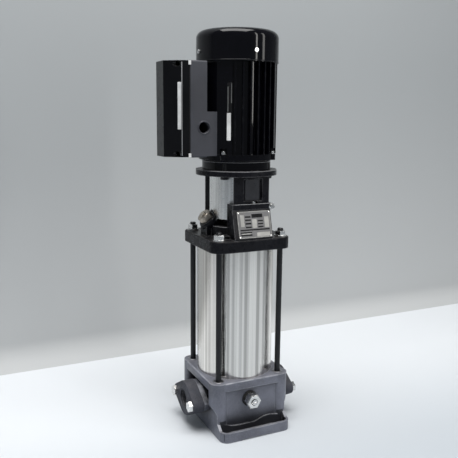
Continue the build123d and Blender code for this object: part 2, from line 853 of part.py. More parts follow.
def make_stool_screws():
    """Screw in the lug beside the ledge, and the cap screw in the arched recess above it."""
    seat = ledge_face
    screw = rod(lug_screw_radius, seat - 9, seat) + rod(lug_screw_seat_radius, seat, seat + 1)
    screw = lug_place() * (screw + rod(cap_screw_radius, seat + 1, seat + 1 + cap_screw_height))
    top = plinth_top + cap_screw_height
    cap = rod(cap_screw_radius, plinth_top, top) - hexagon(cap_screw_radius, top - cap_screw_height / 2, top)
    return group(screw, Pos(arch_x, arch_depth - pillar_face, 0) * cap)


def make_filling_plug():
    plug = rod(plug_thread_radius, boss_length - plug_thread_length, boss_length)
    plug += hexagon(plug_hex_width, boss_length, boss_length + plug_hex_height)
    cap_low = boss_length + plug_hex_height
    cap = rod(plug_cap_radius, cap_low, cap_low + plug_cap_height)
    plug += chamfer(cap.edges().group_by(Axis.Z)[-1], 1.0)
    plug -= rod(vent_radius + spindle_clearance, boss_length - plug_thread_length, cap_low + plug_cap_height)
    return on_boss(plug)


vent_head_low = boss_length + plug_hex_height + plug_cap_height + 0.2


def make_vent_screw():
    """Small slotted screw in the filling plug that lets air out."""
    shank_low = boss_length - plug_thread_length + 2
    screw = rod(vent_radius, shank_low, vent_head_low)
    screw += rod(vent_radius + 2, vent_head_low, vent_head_low + 2.5)
    screw -= block(-10, 10, -0.6, 0.6, vent_head_low + 1.3, vent_head_low + 2.5)
    screw -= ring(vent_radius, vent_radius - 1, shank_low + 2, shank_low + 4.4)
    return on_boss(screw)


def make_vent_seal():
    low = boss_length - plug_thread_length + 4.2
    return on_boss(ring(vent_radius, vent_radius - 0.9, low, low + 2))


def make_coupling_guards():
    """Curved sheets that close the sides of the stool, held between the pillars."""
    sheet = ring(guard_radius + guard_thickness, guard_radius, guard_bottom, guard_top)
    reach = guard_radius + 2 * guard_thickness
    sheet &= block(0, reach, -reach, reach, guard_bottom, guard_top)
    for angle in (0, 180):
        sheet -= Rot(0, 0, angle) * slab(pillar_outline(guard_clearance), guard_bottom, guard_top)
        rear = block(-1, reach, -reach, pillar_depth - pillar_face, guard_bottom, guard_top)
        sheet -= Rot(0, 0, angle) * (rear if angle == 0 else Rot(0, 180, 0) * rear)
    left = Rot(0, 0, 180) * sheet
    left -= on_boss(rod(boss_radius + guard_boss_gap, -boss_radius, 3 * boss_length))
    return group(sheet, left)


# Sloping nameplate face: its angle and length come from the plinth outline.
slope_rise = plinth_slope_top - head_top - 2
slope_run = plinth_foot_face - pillar_face - 0.5
slope_length = sqrt(slope_rise ** 2 + slope_run ** 2)
slope_plane = Plane(origin=(nameplate_offset, -plinth_foot_face, head_top + 2), x_dir=(1, 0, 0),
                    z_dir=(0, -slope_rise, slope_run))


def make_pump_nameplate():
    height = slope_length - 3
    outline = Pos(0, height / 2 + 1) * RectangleRounded(nameplate_width, height, 2)
    plate = extrude(slope_plane * outline, nameplate_thickness)
    return plate


def make_nameplate_rivets():
    rivets = []
    for x in (-nameplate_width / 2 + 2.5, nameplate_width / 2 - 2.5):
        for y in (3.5, slope_length - 4.5):
            head = Pos(x, y, nameplate_thickness) * Cylinder(1.2, 0.8, align=(Align.CENTER, Align.CENTER, Align.MIN))
            rivets.append(slope_plane.location * head)
    return group(*rivets)


# ------------------------------------------------------------------------- motor
def make_motor_end_shield():
    """Drive-end shield: spigot, round neck and a plate with four lugs."""
    bore = bearing_outer_radius
    seat_low = lower_bearing_bottom
    seat_top = seat_low + bearing_width
    shield = turned((motor_shaft_radius + 2, stool_flange_top - 2), (spigot_radius, stool_flange_top - spigot_height),
                    (spigot_radius, stool_flange_top), (neck_radius, stool_flange_top),
                    (neck_radius, shield_bottom), (shield_radius, shield_bottom + 2),
                    (shield_radius, housing_bottom), (housing_inner_radius, housing_bottom),
                    (housing_inner_radius - 3, housing_bottom - 6), (bore + 8, seat_low + 4),
                    (bore + 4, seat_top + 2), (bore, seat_top + 2), (bore, seat_low), (motor_shaft_radius + 2, seat_low))
    lug = rod(lug_radius, shield_bottom + 2, housing_bottom)
    for angle in screw_angles:
        shield += polar(angle, lug_circle_radius) * lug
        tapped = rod(motor_bolt_radius, stool_flange_top, shield_bottom - 3)
        shield -= polar(angle, motor_bolt_circle / 2) * tapped
        shield -= polar(angle, lug_circle_radius) * rod(2.5, shield_bottom + 4, housing_bottom)
    return shield


def make_motor_flange_bolts():
    length = stool_flange_thickness + neck_height - 4
    bolt = hex_bolt(motor_bolt_radius, motor_bolt_head_width, motor_bolt_head_height, 0, length)
    bolts = []
    for angle in screw_angles:
        bolts.append(polar(angle, motor_bolt_circle / 2, stool_flange_bottom) * Rot(180, 0, 0) * bolt)
    return group(*bolts)


def make_shield_screws():
    screw = rod(2.5, housing_bottom - 8, housing_bottom) + rod(4, housing_bottom, housing_bottom + 5)
    return group(*[polar(angle, lug_circle_radius) * screw for angle in screw_angles])


def angle_from(angle, centre):
    """Smallest angle between two directions, in degrees."""
    return abs((angle - centre + 180) % 360 - 180)


def fin_angles():
    """Fins all round, except on the terminal box pad and beside the wide ribs."""
    count = round(360 / fin_pitch_angle)
    angles = [(i + 0.5) * fin_pitch_angle for i in range(count)]
    clear = [a for a in angles if angle_from(a, 180) > pad_half_angle]
    return [a for a in clear if min(angle_from(a, s) for s in screw_angles) > wide_rib_half_angle]


def make_stator_housing():
    """Finned housing with wide ribs over the screws and a smooth pad for the terminal box."""
    body = rod(housing_outer_radius, housing_bottom, housing_top)
    fin = block(housing_outer_radius - 2, fin_tip_radius, -fin_thickness / 2, fin_thickness / 2,
                housing_bottom, housing_top)
    for angle in fin_angles():
        body += polar(angle) * fin
    rib = block(housing_outer_radius - 2, fin_tip_radius, -wide_rib_thickness / 2, wide_rib_thickness / 2,
                housing_bottom + screw_notch_height, housing_top)
    for angle in (45, 315):
        body += polar(angle) * rib
    reach = 2 * pad_radius
    slope = tan(radians(180 - 90 - pad_half_angle))
    sector = Polygon((0, 0), (-reach * slope, reach), (-reach, reach), (-reach, -reach),
                     (-reach * slope, -reach), align=None)
    pad = rod(pad_radius, housing_bottom, housing_top) & slab(sector, housing_bottom, housing_top)
    body += pad
    for angle in (135, 225):
        notch = rod(lug_radius, housing_bottom, housing_bottom + screw_notch_height)
        body -= polar(angle, lug_circle_radius) * notch
    body -= rod(housing_inner_radius, housing_bottom, housing_top)
    lead_hole = rod(8, housing_inner_radius - 8, pad_radius + 4)
    body -= Pos(0, 0, lead_height) * along_x(-1) * lead_hole
    return body


lead_height = (box_bottom + box_neck_top) / 2


def make_stator_core():
    return ring(housing_inner_radius, rotor_radius + air_gap, core_bottom, core_top)


def winding(z_low, z_high):
    inner = rotor_radius + 4
    outer = housing_inner_radius - 4
    edge = 4.0
    return turned((inner + edge, z_low), (outer - edge, z_low), (outer, z_low + edge), (outer, z_high - edge),
                  (outer - edge, z_high), (inner + edge, z_high), (inner, z_high - edge), (inner, z_low + edge))


def make_stator_windings():
    return group(winding(core_bottom - winding_height, core_bottom), winding(core_top, core_top + winding_height))


def make_rotor_core():
    end_ring = 8.0
    core = rod(rotor_radius, core_bottom, core_top)
    core += rod(rotor_radius - 2, core_bottom - end_ring, core_bottom)
    core += rod(rotor_radius - 2, core_top, core_top + end_ring)
    return core - rod(bearing_bore_radius + 2, core_bottom - end_ring, core_top + end_ring)


def make_motor_shaft():
    """Motor shaft from the coupling up to the fan."""
    core_end = 8.0
    shaft = rod(motor_shaft_radius, motor_shaft_bottom, lower_bearing_bottom)
    shaft += rod(bearing_bore_radius, lower_bearing_bottom, upper_bearing_bottom + bearing_width)
    shaft += rod(bearing_bore_radius + 2, core_bottom - core_end, core_top + core_end)
    shaft += rod(bearing_bore_radius - 2, upper_bearing_bottom + bearing_width, fan_bottom + fan_blade_height)
    return shaft


def bearing_bottoms():
    return (lower_bearing_bottom, upper_bearing_bottom)


def race_cut(z):
    """Groove that the balls run in."""
    return Pos(0, 0, z + bearing_width / 2) * Torus(ball_circle_radius, ball_radius + ball_clearance)


def make_bearing_outer_rings():
    inner = ball_circle_radius + race_gap
    return group(*[ring(bearing_outer_radius, inner, z, z + bearing_width) - race_cut(z)
                   for z in bearing_bottoms()])


def make_bearing_inner_rings():
    outer = ball_circle_radius - race_gap
    return group(*[ring(outer, bearing_bore_radius, z, z + bearing_width) - race_cut(z)
                   for z in bearing_bottoms()])


def ball_places(z):
    return [polar(360 / ball_count * i, ball_circle_radius, z + bearing_width / 2) for i in range(ball_count)]


def make_bearing_balls():
    balls = [place * Sphere(ball_radius) for z in bearing_bottoms() for place in ball_places(z)]
    return group(*balls)


def make_bearing_cages():
    half_gap = race_gap - 0.9
    cages = []
    for z in bearing_bottoms():
        middle = z + bearing_width / 2
        cage = ring(ball_circle_radius + half_gap, ball_circle_radius - half_gap,
                    middle - cage_height / 2, middle + cage_height / 2)
        for place in ball_places(z):
            cage -= place * along_x(1) * Cylinder(ball_radius + cage_clearance, 4 * race_gap)
        cages.append(cage)
    return group(*cages)


def make_fan_end_shield():
    """Shield at the fan end, with lugs for the cover screws."""
    seat_low = upper_bearing_bottom
    outer = cover_outer_radius - cover_wall - 0.2
    bore = bearing_outer_radius
    shield = turned((bearing_bore_radius + 2, seat_low + bearing_width), (bore, seat_low + bearing_width),
                    (bore, seat_low - 2), (bore + 4, seat_low - 2), (bore + 7, housing_top),
                    (outer, housing_top), (outer, housing_top + shield_plate),
                    (bearing_bore_radius + 2, housing_top + shield_plate))
    for angle in cover_screw_angles:
        lug = block(outer - 7, outer + 2, -5, 5, housing_top + shield_plate - 1,
                    housing_top + cover_screw_rise + 5)
        hole = along_x(1) * rod(cover_screw_radius, outer - 8, outer + 3)
        lug -= Pos(0, 0, housing_top + cover_screw_rise) * hole
        shield += polar(angle) * (lug & rod(outer - 0.5, housing_top, cover_top))
    return shield


def make_fan_cover():
    """Pressed cover with a rounded top edge and a ring grille over the fan."""
    shell = rod(cover_outer_radius, cover_bottom, cover_top)
    shell = fillet(shell.edges().group_by(Axis.Z)[-1], cover_edge_radius)
    inside = rod(cover_outer_radius - cover_wall, cover_bottom, cover_top - cover_wall)
    shell -= fillet(inside.edges().group_by(Axis.Z)[-1], cover_edge_radius - cover_wall)
    grille_outer = cover_outer_radius - cover_edge_radius - 3
    spoke = block(0, cover_outer_radius, -2.5, 2.5, cover_top - cover_wall, cover_top)
    for i in range(grille_ring_count):
        outer = grille_outer - i * 14
        slots = ring(outer, outer - 9, cover_top - cover_wall, cover_top)
        for k in range(grille_spoke_count):
            slots -= polar(360 / grille_spoke_count * k) * spoke
        shell -= slots
    for angle in cover_screw_angles:
        hole = along_x(1) * rod(cover_screw_radius, cover_outer_radius - 5, cover_outer_radius + 1)
        shell -= polar(angle, 0, housing_top + cover_screw_rise) * hole
    return shell


def make_fan_cover_screws():
    seat = cover_outer_radius
    screw = rod(cover_screw_radius, seat - 7, seat) + rod(3.6, seat, seat + 1.6)
    return group(*[polar(angle, 0, housing_top + cover_screw_rise) * along_x(1) * screw
                   for angle in cover_screw_angles])


def make_cooling_fan():
    """Radial fan on the end of the motor shaft."""
    top = fan_bottom + fan_blade_height
    fan = rod(fan_hub_radius, fan_bottom, top) + rod(fan_radius - 12, fan_bottom, fan_bottom + 2)
    blade = block(fan_hub_radius - 2, fan_radius, -0.9, 0.9, fan_bottom, top)
    for i in range(fan_blade_count):
        fan += polar(360 / fan_blade_count * i) * blade
    return fan - rod(bearing_bore_radius - 2, fan_bottom, top)


# ------------------------------------------------------------------- terminal box
def box_outline(inset=0.0):
    """Side view of the box, in Y and Z, drawn for a slab along X."""
    width = box_height - 2 * inset
    depth = 2 * box_half_depth - 2 * inset
    return RectangleRounded(width, depth, box_corner_radius)


def box_slab(x_low, x_high, inset=0.0):
    """The box outline as a slab between two values of X."""
    middle = (box_bottom + box_top) / 2
    body = slab(box_outline(inset), -x_high, -x_low)
    return Pos(0, 0, middle) * along_x(-1) * body


def entry_place(y_sign):
    return Pos(entry_x, 0, entry_height) * along_y(y_sign)


def make_terminal_box():
    body = box_slab(box_seam_x, box_inner_x)
    neck_inner_x = box_inner_x + box_neck_reach
    body += block(box_seam_x + 5, neck_inner_x, -box_half_depth, box_half_depth, box_bottom + 2, box_neck_top)
    body -= box_slab(box_seam_x, box_inner_x - box_wall, box_wall)
    hollow = block(box_seam_x + 5, neck_inner_x, -box_half_depth + box_wall, box_half_depth - box_wall,
                   box_bottom + 2 + box_wall, box_neck_top - box_wall)
    body -= hollow - rod(pad_radius + box_wall, box_bottom, box_top)
    for sign in (-1, 1):
        boss = rod(entry_boss_radius, box_half_depth - entry_length, box_half_depth)
        body += entry_place(sign) * boss
        body -= entry_place(sign) * rod(entry_radius, box_half_depth - entry_length, box_half_depth)
    for y, z in lid_screw_places():
        post = Pos(0, y, z) * along_x(-1) * rod(4.2, -box_inner_x, -box_seam_x)
        body += post & box_slab(box_seam_x, box_inner_x)
        body -= Pos(0, y, z) * along_x(-1) * rod(1.8, -box_seam_x - 12, -box_seam_x)
    body -= rod(pad_radius, box_bottom, box_top)
    body -= Pos(0, 0, lead_height) * along_x(-1) * rod(8, pad_radius - 4, pad_radius + box_wall + 6)
    return body


def lid_screw_places():
    inset = 6.0
    ys = (-box_half_depth + inset, box_half_depth - inset)
    zs = (box_bottom + inset, box_top - inset)
    return [(y, z) for y in ys for z in zs]


def make_lid_gasket():
    frame = box_slab(lid_back_x, box_seam_x, 0.6) - box_slab(lid_back_x, box_seam_x, box_wall)
    for y, z in lid_screw_places():
        frame -= Pos(0, y, z) * along_x(-1) * rod(2, -box_seam_x, -lid_back_x)
    return frame


def lid_outline(wall=0.0):
    """Plan of the lid: a skirt, a slanting side and a flat face."""
    half = box_half_depth - wall
    face_half = lid_face_half_depth - wall * 0.4
    shift = wall * 0.4
    return Polygon((lid_back_x, -half), (lid_skirt_end_x + shift, -half), (lid_face_x + wall, -face_half),
                   (lid_face_x + wall, face_half), (lid_skirt_end_x + shift, half), (lid_back_x, half), align=None)


def make_terminal_box_lid():
    low = box_bottom + lid_end_inset
    high = box_top - lid_end_inset
    lid = slab(lid_outline(), low, high)
    upright = lid.edges().filter_by(Axis.Z).group_by(Axis.X)
    lid = fillet(upright[0] + upright[1], 1.5)
    hollow = slab(lid_outline(box_wall), low + box_wall, high - box_wall)
    lid -= hollow
    for y, z in lid_screw_places():
        place = Pos(0, y, z) * along_x(-1)
        post = place * rod(5.2, -lid_back_x, -lid_skirt_end_x)
        lid += post & slab(lid_outline(), low, high)
        lid -= place * rod(lid_screw_radius + 0.9, -lid_skirt_end_x - 1.5, -lid_face_x)
        lid -= place * rod(2, -lid_back_x, -lid_skirt_end_x)
    return lid


def make_lid_screws():
    seat = -lid_skirt_end_x - 1.5
    screw = rod(1.8, -box_seam_x - 11, seat) + rod(lid_screw_radius, seat, seat + 3.5)
    screw -= block(-4, 4, -0.5, 0.5, seat + 2.5, seat + 3.5)
    return group(*[Pos(0, y, z) * along_x(-1) * screw for y, z in lid_screw_places()])


def make_blanking_plug():
    """Plug in the unused cable entry at the back of the box."""
    plug = rod(entry_radius, box_half_depth - entry_length, box_half_depth)
    cap = rod(entry_radius + 2.8, box_half_depth, box_half_depth + 3.5)
    plug += chamfer(cap.edges().group_by(Axis.Z)[-1], 1.0)
    plug -= hexagon(10, box_half_depth, box_half_depth + 3.5)
    return entry_place(1) * plug


def make_terminal_block():
    floor_x = box_inner_x - box_wall
    half = box_half_depth - 14
    low, high = box_neck_top + 6, box_neck_top + terminal_share * (box_top - box_neck_top)
    base = block(floor_x - terminal_depth, floor_x, -half, half, low, high)
    studs = []
    for y in (-half * 2 / 3, 0, half * 2 / 3):
        for z in (low + (high - low) / 4, high - (high - low) / 4):
            stud = rod(stud_radius, terminal_depth - floor_x - 1, terminal_depth - floor_x + stud_length)
            studs.append(Pos(0, y, z) * along_x(-1) * stud)
    for stud in studs:
        base += stud
    return base


def make_capacitor():
    """Run capacitor, held on the box floor above the terminals."""
    x = box_inner_x - box_wall - capacitor_radius
    z = box_top - capacitor_share * (box_top - box_neck_top)
    half = box_half_depth - 10
    return Pos(x, 0, z) * along_y(1) * rod(capacitor_radius, -half, half)


# ------------------------------------------------------------------------- export
nodes["pump_base"] = make_pump_base()
nodes["inlet_flange"] = make_port_flange(-1)
nodes["outlet_flange"] = make_port_flange(1)
nodes["port_gaskets"] = make_port_gaskets()
nodes["port_flange_bolts"] = make_port_flange_bolts()
nodes["drain_plug"] = make_drain_plug()
nodes["bypass_spindle"] = make_bypass_spindle()
nodes["bypass_seal"] = make_bypass_seal()
nodes["outer_sleeve"] = make_outer_sleeve()
nodes["body_seals"] = make_body_seals()
nodes["staybolts"] = make_staybolts()
nodes["staybolt_washers"] = make_staybolt_washers()
nodes["staybolt_nuts"] = make_staybolt_nuts()
nodes["inlet_part"] = make_inlet_part()
nodes["stage_chambers"] = make_stage_chambers()
nodes["neck_rings"] = make_neck_rings()
nodes["impellers"] = make_impellers()
nodes["chamber_straps"] = make_chamber_straps()
nodes["top_chamber"] = make_top_chamber()
nodes["top_bush"] = make_top_bush()
nodes["pump_shaft"] = make_pump_shaft()
nodes["shaft_nut"] = make_shaft_nut()
nodes["shaft_pin"] = shaft_pin_rod()
nodes["seal_cover"] = make_seal_cover()
nodes["seal_seat"] = make_seal_seat()
nodes["seal_rotor"] = make_seal_rotor()
nodes["seal_bellows"] = make_seal_bellows()
nodes["coupling_halves"] = make_coupling_halves()
nodes["coupling_screws"] = make_coupling_screws()
nodes["pump_head"] = make_pump_head()
nodes["filling_plug"] = make_filling_plug()
nodes["vent_screw"] = make_vent_screw()
nodes["vent_seal"] = make_vent_seal()
nodes["coupling_guards"] = make_coupling_guards()
nodes["stool_screws"] = make_stool_screws()
nodes["pump_nameplate"] = make_pump_nameplate()
nodes["nameplate_rivets"] = make_nameplate_rivets()
nodes["motor_end_shield"] = make_motor_end_shield()
nodes["motor_flange_bolts"] = make_motor_flange_bolts()
nodes["shield_screws"] = make_shield_screws()
nodes["stator_housing"] = make_stator_housing()
nodes["stator_core"] = make_stator_core()
nodes["stator_windings"] = make_stator_windings()
nodes["rotor_core"] = make_rotor_core()
nodes["motor_shaft"] = make_motor_shaft()
nodes["bearing_outer_rings"] = make_bearing_outer_rings()
nodes["bearing_inner_rings"] = make_bearing_inner_rings()
nodes["bearing_balls"] = make_bearing_balls()
nodes["bearing_cages"] = make_bearing_cages()
nodes["fan_end_shield"] = make_fan_end_shield()
nodes["cooling_fan"] = make_cooling_fan()
nodes["fan_cover"] = make_fan_cover()
nodes["fan_cover_screws"] = make_fan_cover_screws()
nodes["terminal_box"] = make_terminal_box()
nodes["lid_gasket"] = make_lid_gasket()
nodes["terminal_box_lid"] = make_terminal_box_lid()
nodes["lid_screws"] = make_lid_screws()
nodes["blanking_plug"] = make_blanking_plug()
nodes["terminal_block"] = make_terminal_block()
nodes["capacitor"] = make_capacitor()

os.makedirs("parts", exist_ok=True)
for name, shape in nodes.items():
    export_step(shape, f"parts/{name}.step")
    print(f"{name:22s} solids {len(shape.solids()):3d}  volume {shape.volume:12.1f}")
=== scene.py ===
"""Looks for a vertical multistage pump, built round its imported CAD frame."""
import json
from math import cos, pi, radians, sin

import bmesh
import bpy
from mathutils import Matrix, Vector


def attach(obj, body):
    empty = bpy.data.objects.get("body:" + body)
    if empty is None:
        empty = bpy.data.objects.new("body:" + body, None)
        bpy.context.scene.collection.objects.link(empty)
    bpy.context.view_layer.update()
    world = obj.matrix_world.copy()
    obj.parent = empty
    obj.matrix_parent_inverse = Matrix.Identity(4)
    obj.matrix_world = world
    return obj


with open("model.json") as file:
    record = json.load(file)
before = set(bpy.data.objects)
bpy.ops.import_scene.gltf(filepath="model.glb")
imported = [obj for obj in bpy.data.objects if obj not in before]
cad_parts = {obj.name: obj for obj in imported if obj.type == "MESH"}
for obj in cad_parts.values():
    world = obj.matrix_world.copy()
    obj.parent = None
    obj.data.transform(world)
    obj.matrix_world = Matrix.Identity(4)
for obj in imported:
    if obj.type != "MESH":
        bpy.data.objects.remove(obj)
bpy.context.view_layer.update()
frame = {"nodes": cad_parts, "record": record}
nodes = frame["nodes"]
MM = 0.001


# ---------------------------------------------------------------- materials
def shade(colour, share, lift=0.0):
    """The colour scaled by share, plus a flat lift."""
    return tuple(c * share + lift for c in colour)


class Look:
    """One procedural material: a Principled shader and the nodes that feed it."""

    # Each pair is where a mask starts and where it is whole
    EDGE = (0.995, 0.86)        # cosine between the true normal and the rounded one
    HOLLOW = (0.94, 0.42)       # share of the sky that a point sees
    RIM_IN = (0.18, 0.45)       # upward part of the normal, coming from an upright face
    RIM_OUT = (0.97, 0.86)      # upward part of the normal, coming from a top face
    TOP = (0.55, 0.98)          # upward part of the normal
    MIDDLE = (0.3, 0.7)         # the middle of a noise, which breaks a colour into patches

    def __init__(self, name):
        self.material = bpy.data.materials.new(name)
        self.material.use_nodes = True
        self.tree = self.material.node_tree
        self.tree.nodes.clear()
        self.shader = self.add("ShaderNodeBsdfPrincipled")
        self.output = self.add("ShaderNodeOutputMaterial")
        self.join(self.shader.outputs["BSDF"], self.output.inputs["Surface"])
        self.place = self.add("ShaderNodeTexCoord").outputs["Object"]

    def add(self, kind, **settings):
        node = self.tree.nodes.new(kind)
        for key, value in settings.items():
            setattr(node, key, value)
        return node

    def join(self, source, target):
        self.tree.links.new(source, target)

    def set(self, **values):
        """Sets plain values on the shader's own sockets."""
        for key, value in values.items():
            self.shader.inputs[key.replace("_", " ")].default_value = value

    def feed(self, socket, source):
        self.join(source, self.shader.inputs[socket])

    def split(self, vector):
        """The X, Y and Z sockets of a vector."""
        parts = self.add("ShaderNodeSeparateXYZ")
        self.join(vector, parts.inputs[0])
        return parts.outputs

    def upward(self):
        """The upward part of the surface's normal."""
        return self.split(self.add("ShaderNodeNewGeometry").outputs["Normal"])["Z"]

    def stretched(self, scale):
        """Object coordinates scaled along each axis, for brushed or drawn marks."""
        mapping = self.add("ShaderNodeMapping")
        mapping.inputs["Scale"].default_value = scale
        self.join(self.place, mapping.inputs["Vector"])
        return mapping.outputs["Vector"]

    def turned(self, around, along):
        """Coordinates (angle, 0, height) about the upright axis, scaled for brushing."""
        parts = self.split(self.place)
        angle = self.math("ARCTAN2", parts["Y"], parts["X"])
        joined = self.add("ShaderNodeCombineXYZ")
        self.join(self.math("MULTIPLY", angle, around), joined.inputs["X"])
        self.join(self.math("MULTIPLY", parts["Z"], along), joined.inputs["Z"])
        return joined.outputs[0]

    def noise(self, scale, detail=4.0, rough=0.55, place=None):
        node = self.add("ShaderNodeTexNoise")
        node.inputs["Scale"].default_value = scale
        node.inputs["Detail"].default_value = detail
        node.inputs["Roughness"].default_value = rough
        self.join(place or self.place, node.inputs["Vector"])
        return node.outputs["Fac"]

    def cells(self, scale):
        node = self.add("ShaderNodeTexVoronoi", feature="SMOOTH_F1")
        node.inputs["Scale"].default_value = scale
        self.join(self.place, node.inputs["Vector"])
        return node.outputs["Distance"]

    def math(self, operation, a, b=None, clamp=False):
        node = self.add("ShaderNodeMath", operation=operation, use_clamp=clamp)
        for socket, value in zip(node.inputs, (a, b)):
            if value is None:
                continue
            if isinstance(value, (int, float)):
                socket.default_value = value
            else:
                self.join(value, socket)
        return node.outputs[0]

    def ramp(self, source, low, high, out_low=0.0, out_high=1.0):
        """Maps source from low..high to out_low..out_high, clamped and smooth."""
        node = self.add("ShaderNodeMapRange", interpolation_type="SMOOTHSTEP")
        for key, value in zip(("From Min", "From Max", "To Min", "To Max"),
                              (low, high, out_low, out_high)):
            node.inputs[key].default_value = value
        self.join(source, node.inputs["Value"])
        return node.outputs["Result"]

    def blend(self, amount, first, second, mode="MIX"):
        node = self.add("ShaderNodeMix", data_type="RGBA", blend_type=mode)
        colours = [socket for socket in node.inputs if socket.type == "RGBA"]
        for socket, value in zip((node.inputs[0], *colours), (amount, first, second)):
            if isinstance(value, (int, float)):
                socket.default_value = value
            elif isinstance(value, (tuple, list)):
                socket.default_value = (*value, 1.0)
            else:
                self.join(value, socket)
        return next(socket for socket in node.outputs if socket.type == "RGBA")

    def bump(self, height, strength, distance, below=None):
        node = self.add("ShaderNodeBump")
        node.inputs["Strength"].default_value = strength
        node.inputs["Distance"].default_value = distance
        self.join(height, node.inputs["Height"])
        if below is not None:
            self.join(below, node.inputs["Normal"])
        return node.outputs["Normal"]

    def edges(self, radius):
        """1 on sharp edges, 0 on flat faces, from how far a rounded normal leaves the true one."""
        rounded = self.add("ShaderNodeBevel", samples=6)
        rounded.inputs["Radius"].default_value = radius
        true = self.add("ShaderNodeNewGeometry")
        dot = self.add("ShaderNodeVectorMath", operation="DOT_PRODUCT")
        self.join(rounded.outputs[0], dot.inputs[0])
        self.join(true.outputs["Normal"], dot.inputs[1])
        return self.ramp(dot.outputs["Value"], *self.EDGE)

    def soft_edges(self, radius):
        """A normal that rounds sharp CAD edges by radius."""
        node = self.add("ShaderNodeBevel", samples=4)
        node.inputs["Radius"].default_value = radius
        return node.outputs[0]

    def hollows(self, reach):
        """1 in corners and under ledges, 0 on open faces."""
        node = self.add("ShaderNodeAmbientOcclusion", samples=6, only_local=True)
        node.inputs["Distance"].default_value = reach
        open_sky, closed_in = self.HOLLOW
        return self.ramp(node.outputs["AO"], closed_in, open_sky, 1.0, 0.0)

    def span(self, axis, low, high, soft=0.0006):
        """1 where the distance from the middle plane of an axis lies between low and high."""
        away = self.math("ABSOLUTE", self.split(self.place)[axis])
        return self.math("MULTIPLY", self.ramp(away, low - soft, low),
                         self.ramp(away, high, high + soft, 1.0, 0.0))

    def rounded_rims(self):
        """1 on the rounding between a top face and an upright one."""
        upward = self.upward()
        top, rim = self.RIM_OUT
        return self.math("MULTIPLY", self.ramp(upward, *self.RIM_IN),
                         self.ramp(upward, rim, top, 1.0, 0.0))

    def dust(self, scale, start, whole, amount):
        """Settled dust: cloudy, and on faces that look up only."""
        cloud = self.ramp(self.noise(scale, 6.0, 0.7), start, whole)
        settled = self.math("MULTIPLY", self.ramp(self.upward(), *self.TOP), cloud)
        return self.math("MULTIPLY", settled, amount)

    def patches(self, dark, light, scale, detail, rough=0.55):
        """A colour broken into large soft patches of a darker and a lighter tone."""
        return self.blend(self.ramp(self.noise(scale, detail, rough), *self.MIDDLE), dark, light)


def cast_paint(name, colour, rough, grain=0.5, worn_and_lit_tone=(0.30, 0.29, 0.28), wear_and_highlight=0.5, dust=0.25,
               coat=0.0, specular=0.5, hollow_shade=0.8, edge_radius=0.0011, trays=(), rim=0.0):
    """Paint over cast iron: pebbled casting skin, edges lightened by wear and painted highlight,
    dust on top and painted shade in corners.
    """
    look = Look(name)
    fine = look.noise(420.0, 3.0, 0.6)
    base = look.patches(shade(colour, 0.72), shade(colour, 1.28, 0.004), 14.0, 5.0, 0.6)
    speckle = look.math("MULTIPLY", look.ramp(fine, 0.35, 0.75), 0.35)
    base = look.blend(speckle, base, shade(colour, 1.6, 0.004))

    # Painted shade: darker in corners, under ledges and in the listed spots
    painted_shade = look.math("MULTIPLY", look.hollows(0.045), hollow_shade)
    for across, along, up, fade, share in trays:
        spot = look.math("MULTIPLY", look.span("X", *across), look.span("Y", *along))
        spot = look.math("MULTIPLY", spot, look.span("Z", *up, fade))
        painted_shade = look.math("MAXIMUM", painted_shade, look.math("MULTIPLY", spot, share))
    base = look.blend(painted_shade, base, shade(colour, 0.12))

    # Edges lightened towards the worn tone: partly wear, partly painted highlight; rim adds a
    # painted highlight along rounded rims
    edge = look.math("MULTIPLY", look.edges(edge_radius), look.ramp(look.noise(60.0), 0.30, 0.58))
    edge = look.math("MULTIPLY", edge, wear_and_highlight, clamp=True)
    if rim:
        highlit_rims = look.math("MULTIPLY", look.rounded_rims(),
                           look.ramp(look.noise(45.0, 3.0), 0.25, 0.6))
        edge = look.math("MAXIMUM", edge, look.math("MULTIPLY", highlit_rims, rim))
    base = look.blend(edge, base, worn_and_lit_tone)

    dirt = look.dust(35.0, 0.35, 0.75, dust)
    look.feed("Base Color", look.blend(dirt, base, (0.33, 0.31, 0.28)))
    roughness = look.ramp(look.noise(90.0), *look.MIDDLE, rough - 0.07, rough + 0.08)
    look.feed("Roughness", look.math("ADD", roughness, look.math("MULTIPLY", dirt, 0.5)))

    pebbles = look.math("MULTIPLY", look.cells(520.0), 0.6)
    skin = look.math("ADD", pebbles, look.math("MULTIPLY", fine, 0.7))
    coarse = look.bump(look.noise(75.0, 3.0), 0.25 * grain, 0.0012, look.soft_edges(0.0008))
    look.feed("Normal", look.bump(skin, 0.55 * grain, 0.0004, coarse))
    look.set(Coat_Weight=coat, Coat_Roughness=0.16, Specular_IOR_Level=specular)
    return look.material


def gloss_paint(name, colour, rough, coat, coat_rough, peel=0.3, dust=0.12, specular=0.5):
    """Gloss enamel over machined or die-cast metal, with a faint orange peel."""
    look = Look(name)
    base = look.patches(shade(colour, 0.8), shade(colour, 1.25, 0.001), 9.0, 4.0)
    edge = look.math("MULTIPLY", look.edges(0.0009), look.ramp(look.noise(80.0), 0.45, 0.7))
    base = look.blend(look.math("MULTIPLY", edge, 0.25), base, (0.16, 0.16, 0.165))
    dirt = look.dust(28.0, 0.4, 0.8, dust)
    look.feed("Base Color", look.blend(dirt, base, (0.30, 0.29, 0.27)))
    roughness = look.ramp(look.noise(55.0, 5.0, 0.6), 0.3, 0.75, rough - 0.05, rough + 0.09)
    look.feed("Roughness", look.math("ADD", roughness, look.math("MULTIPLY", dirt, 0.6)))
    skin = look.bump(look.noise(260.0, 2.0), 0.14 * peel, 0.0006, look.soft_edges(0.0008))
    look.feed("Normal", look.bump(look.noise(30.0, 2.0), 0.10 * peel, 0.003, skin))
    look.set(Coat_Weight=coat, Coat_Roughness=coat_rough, Specular_IOR_Level=specular)
    return look.material


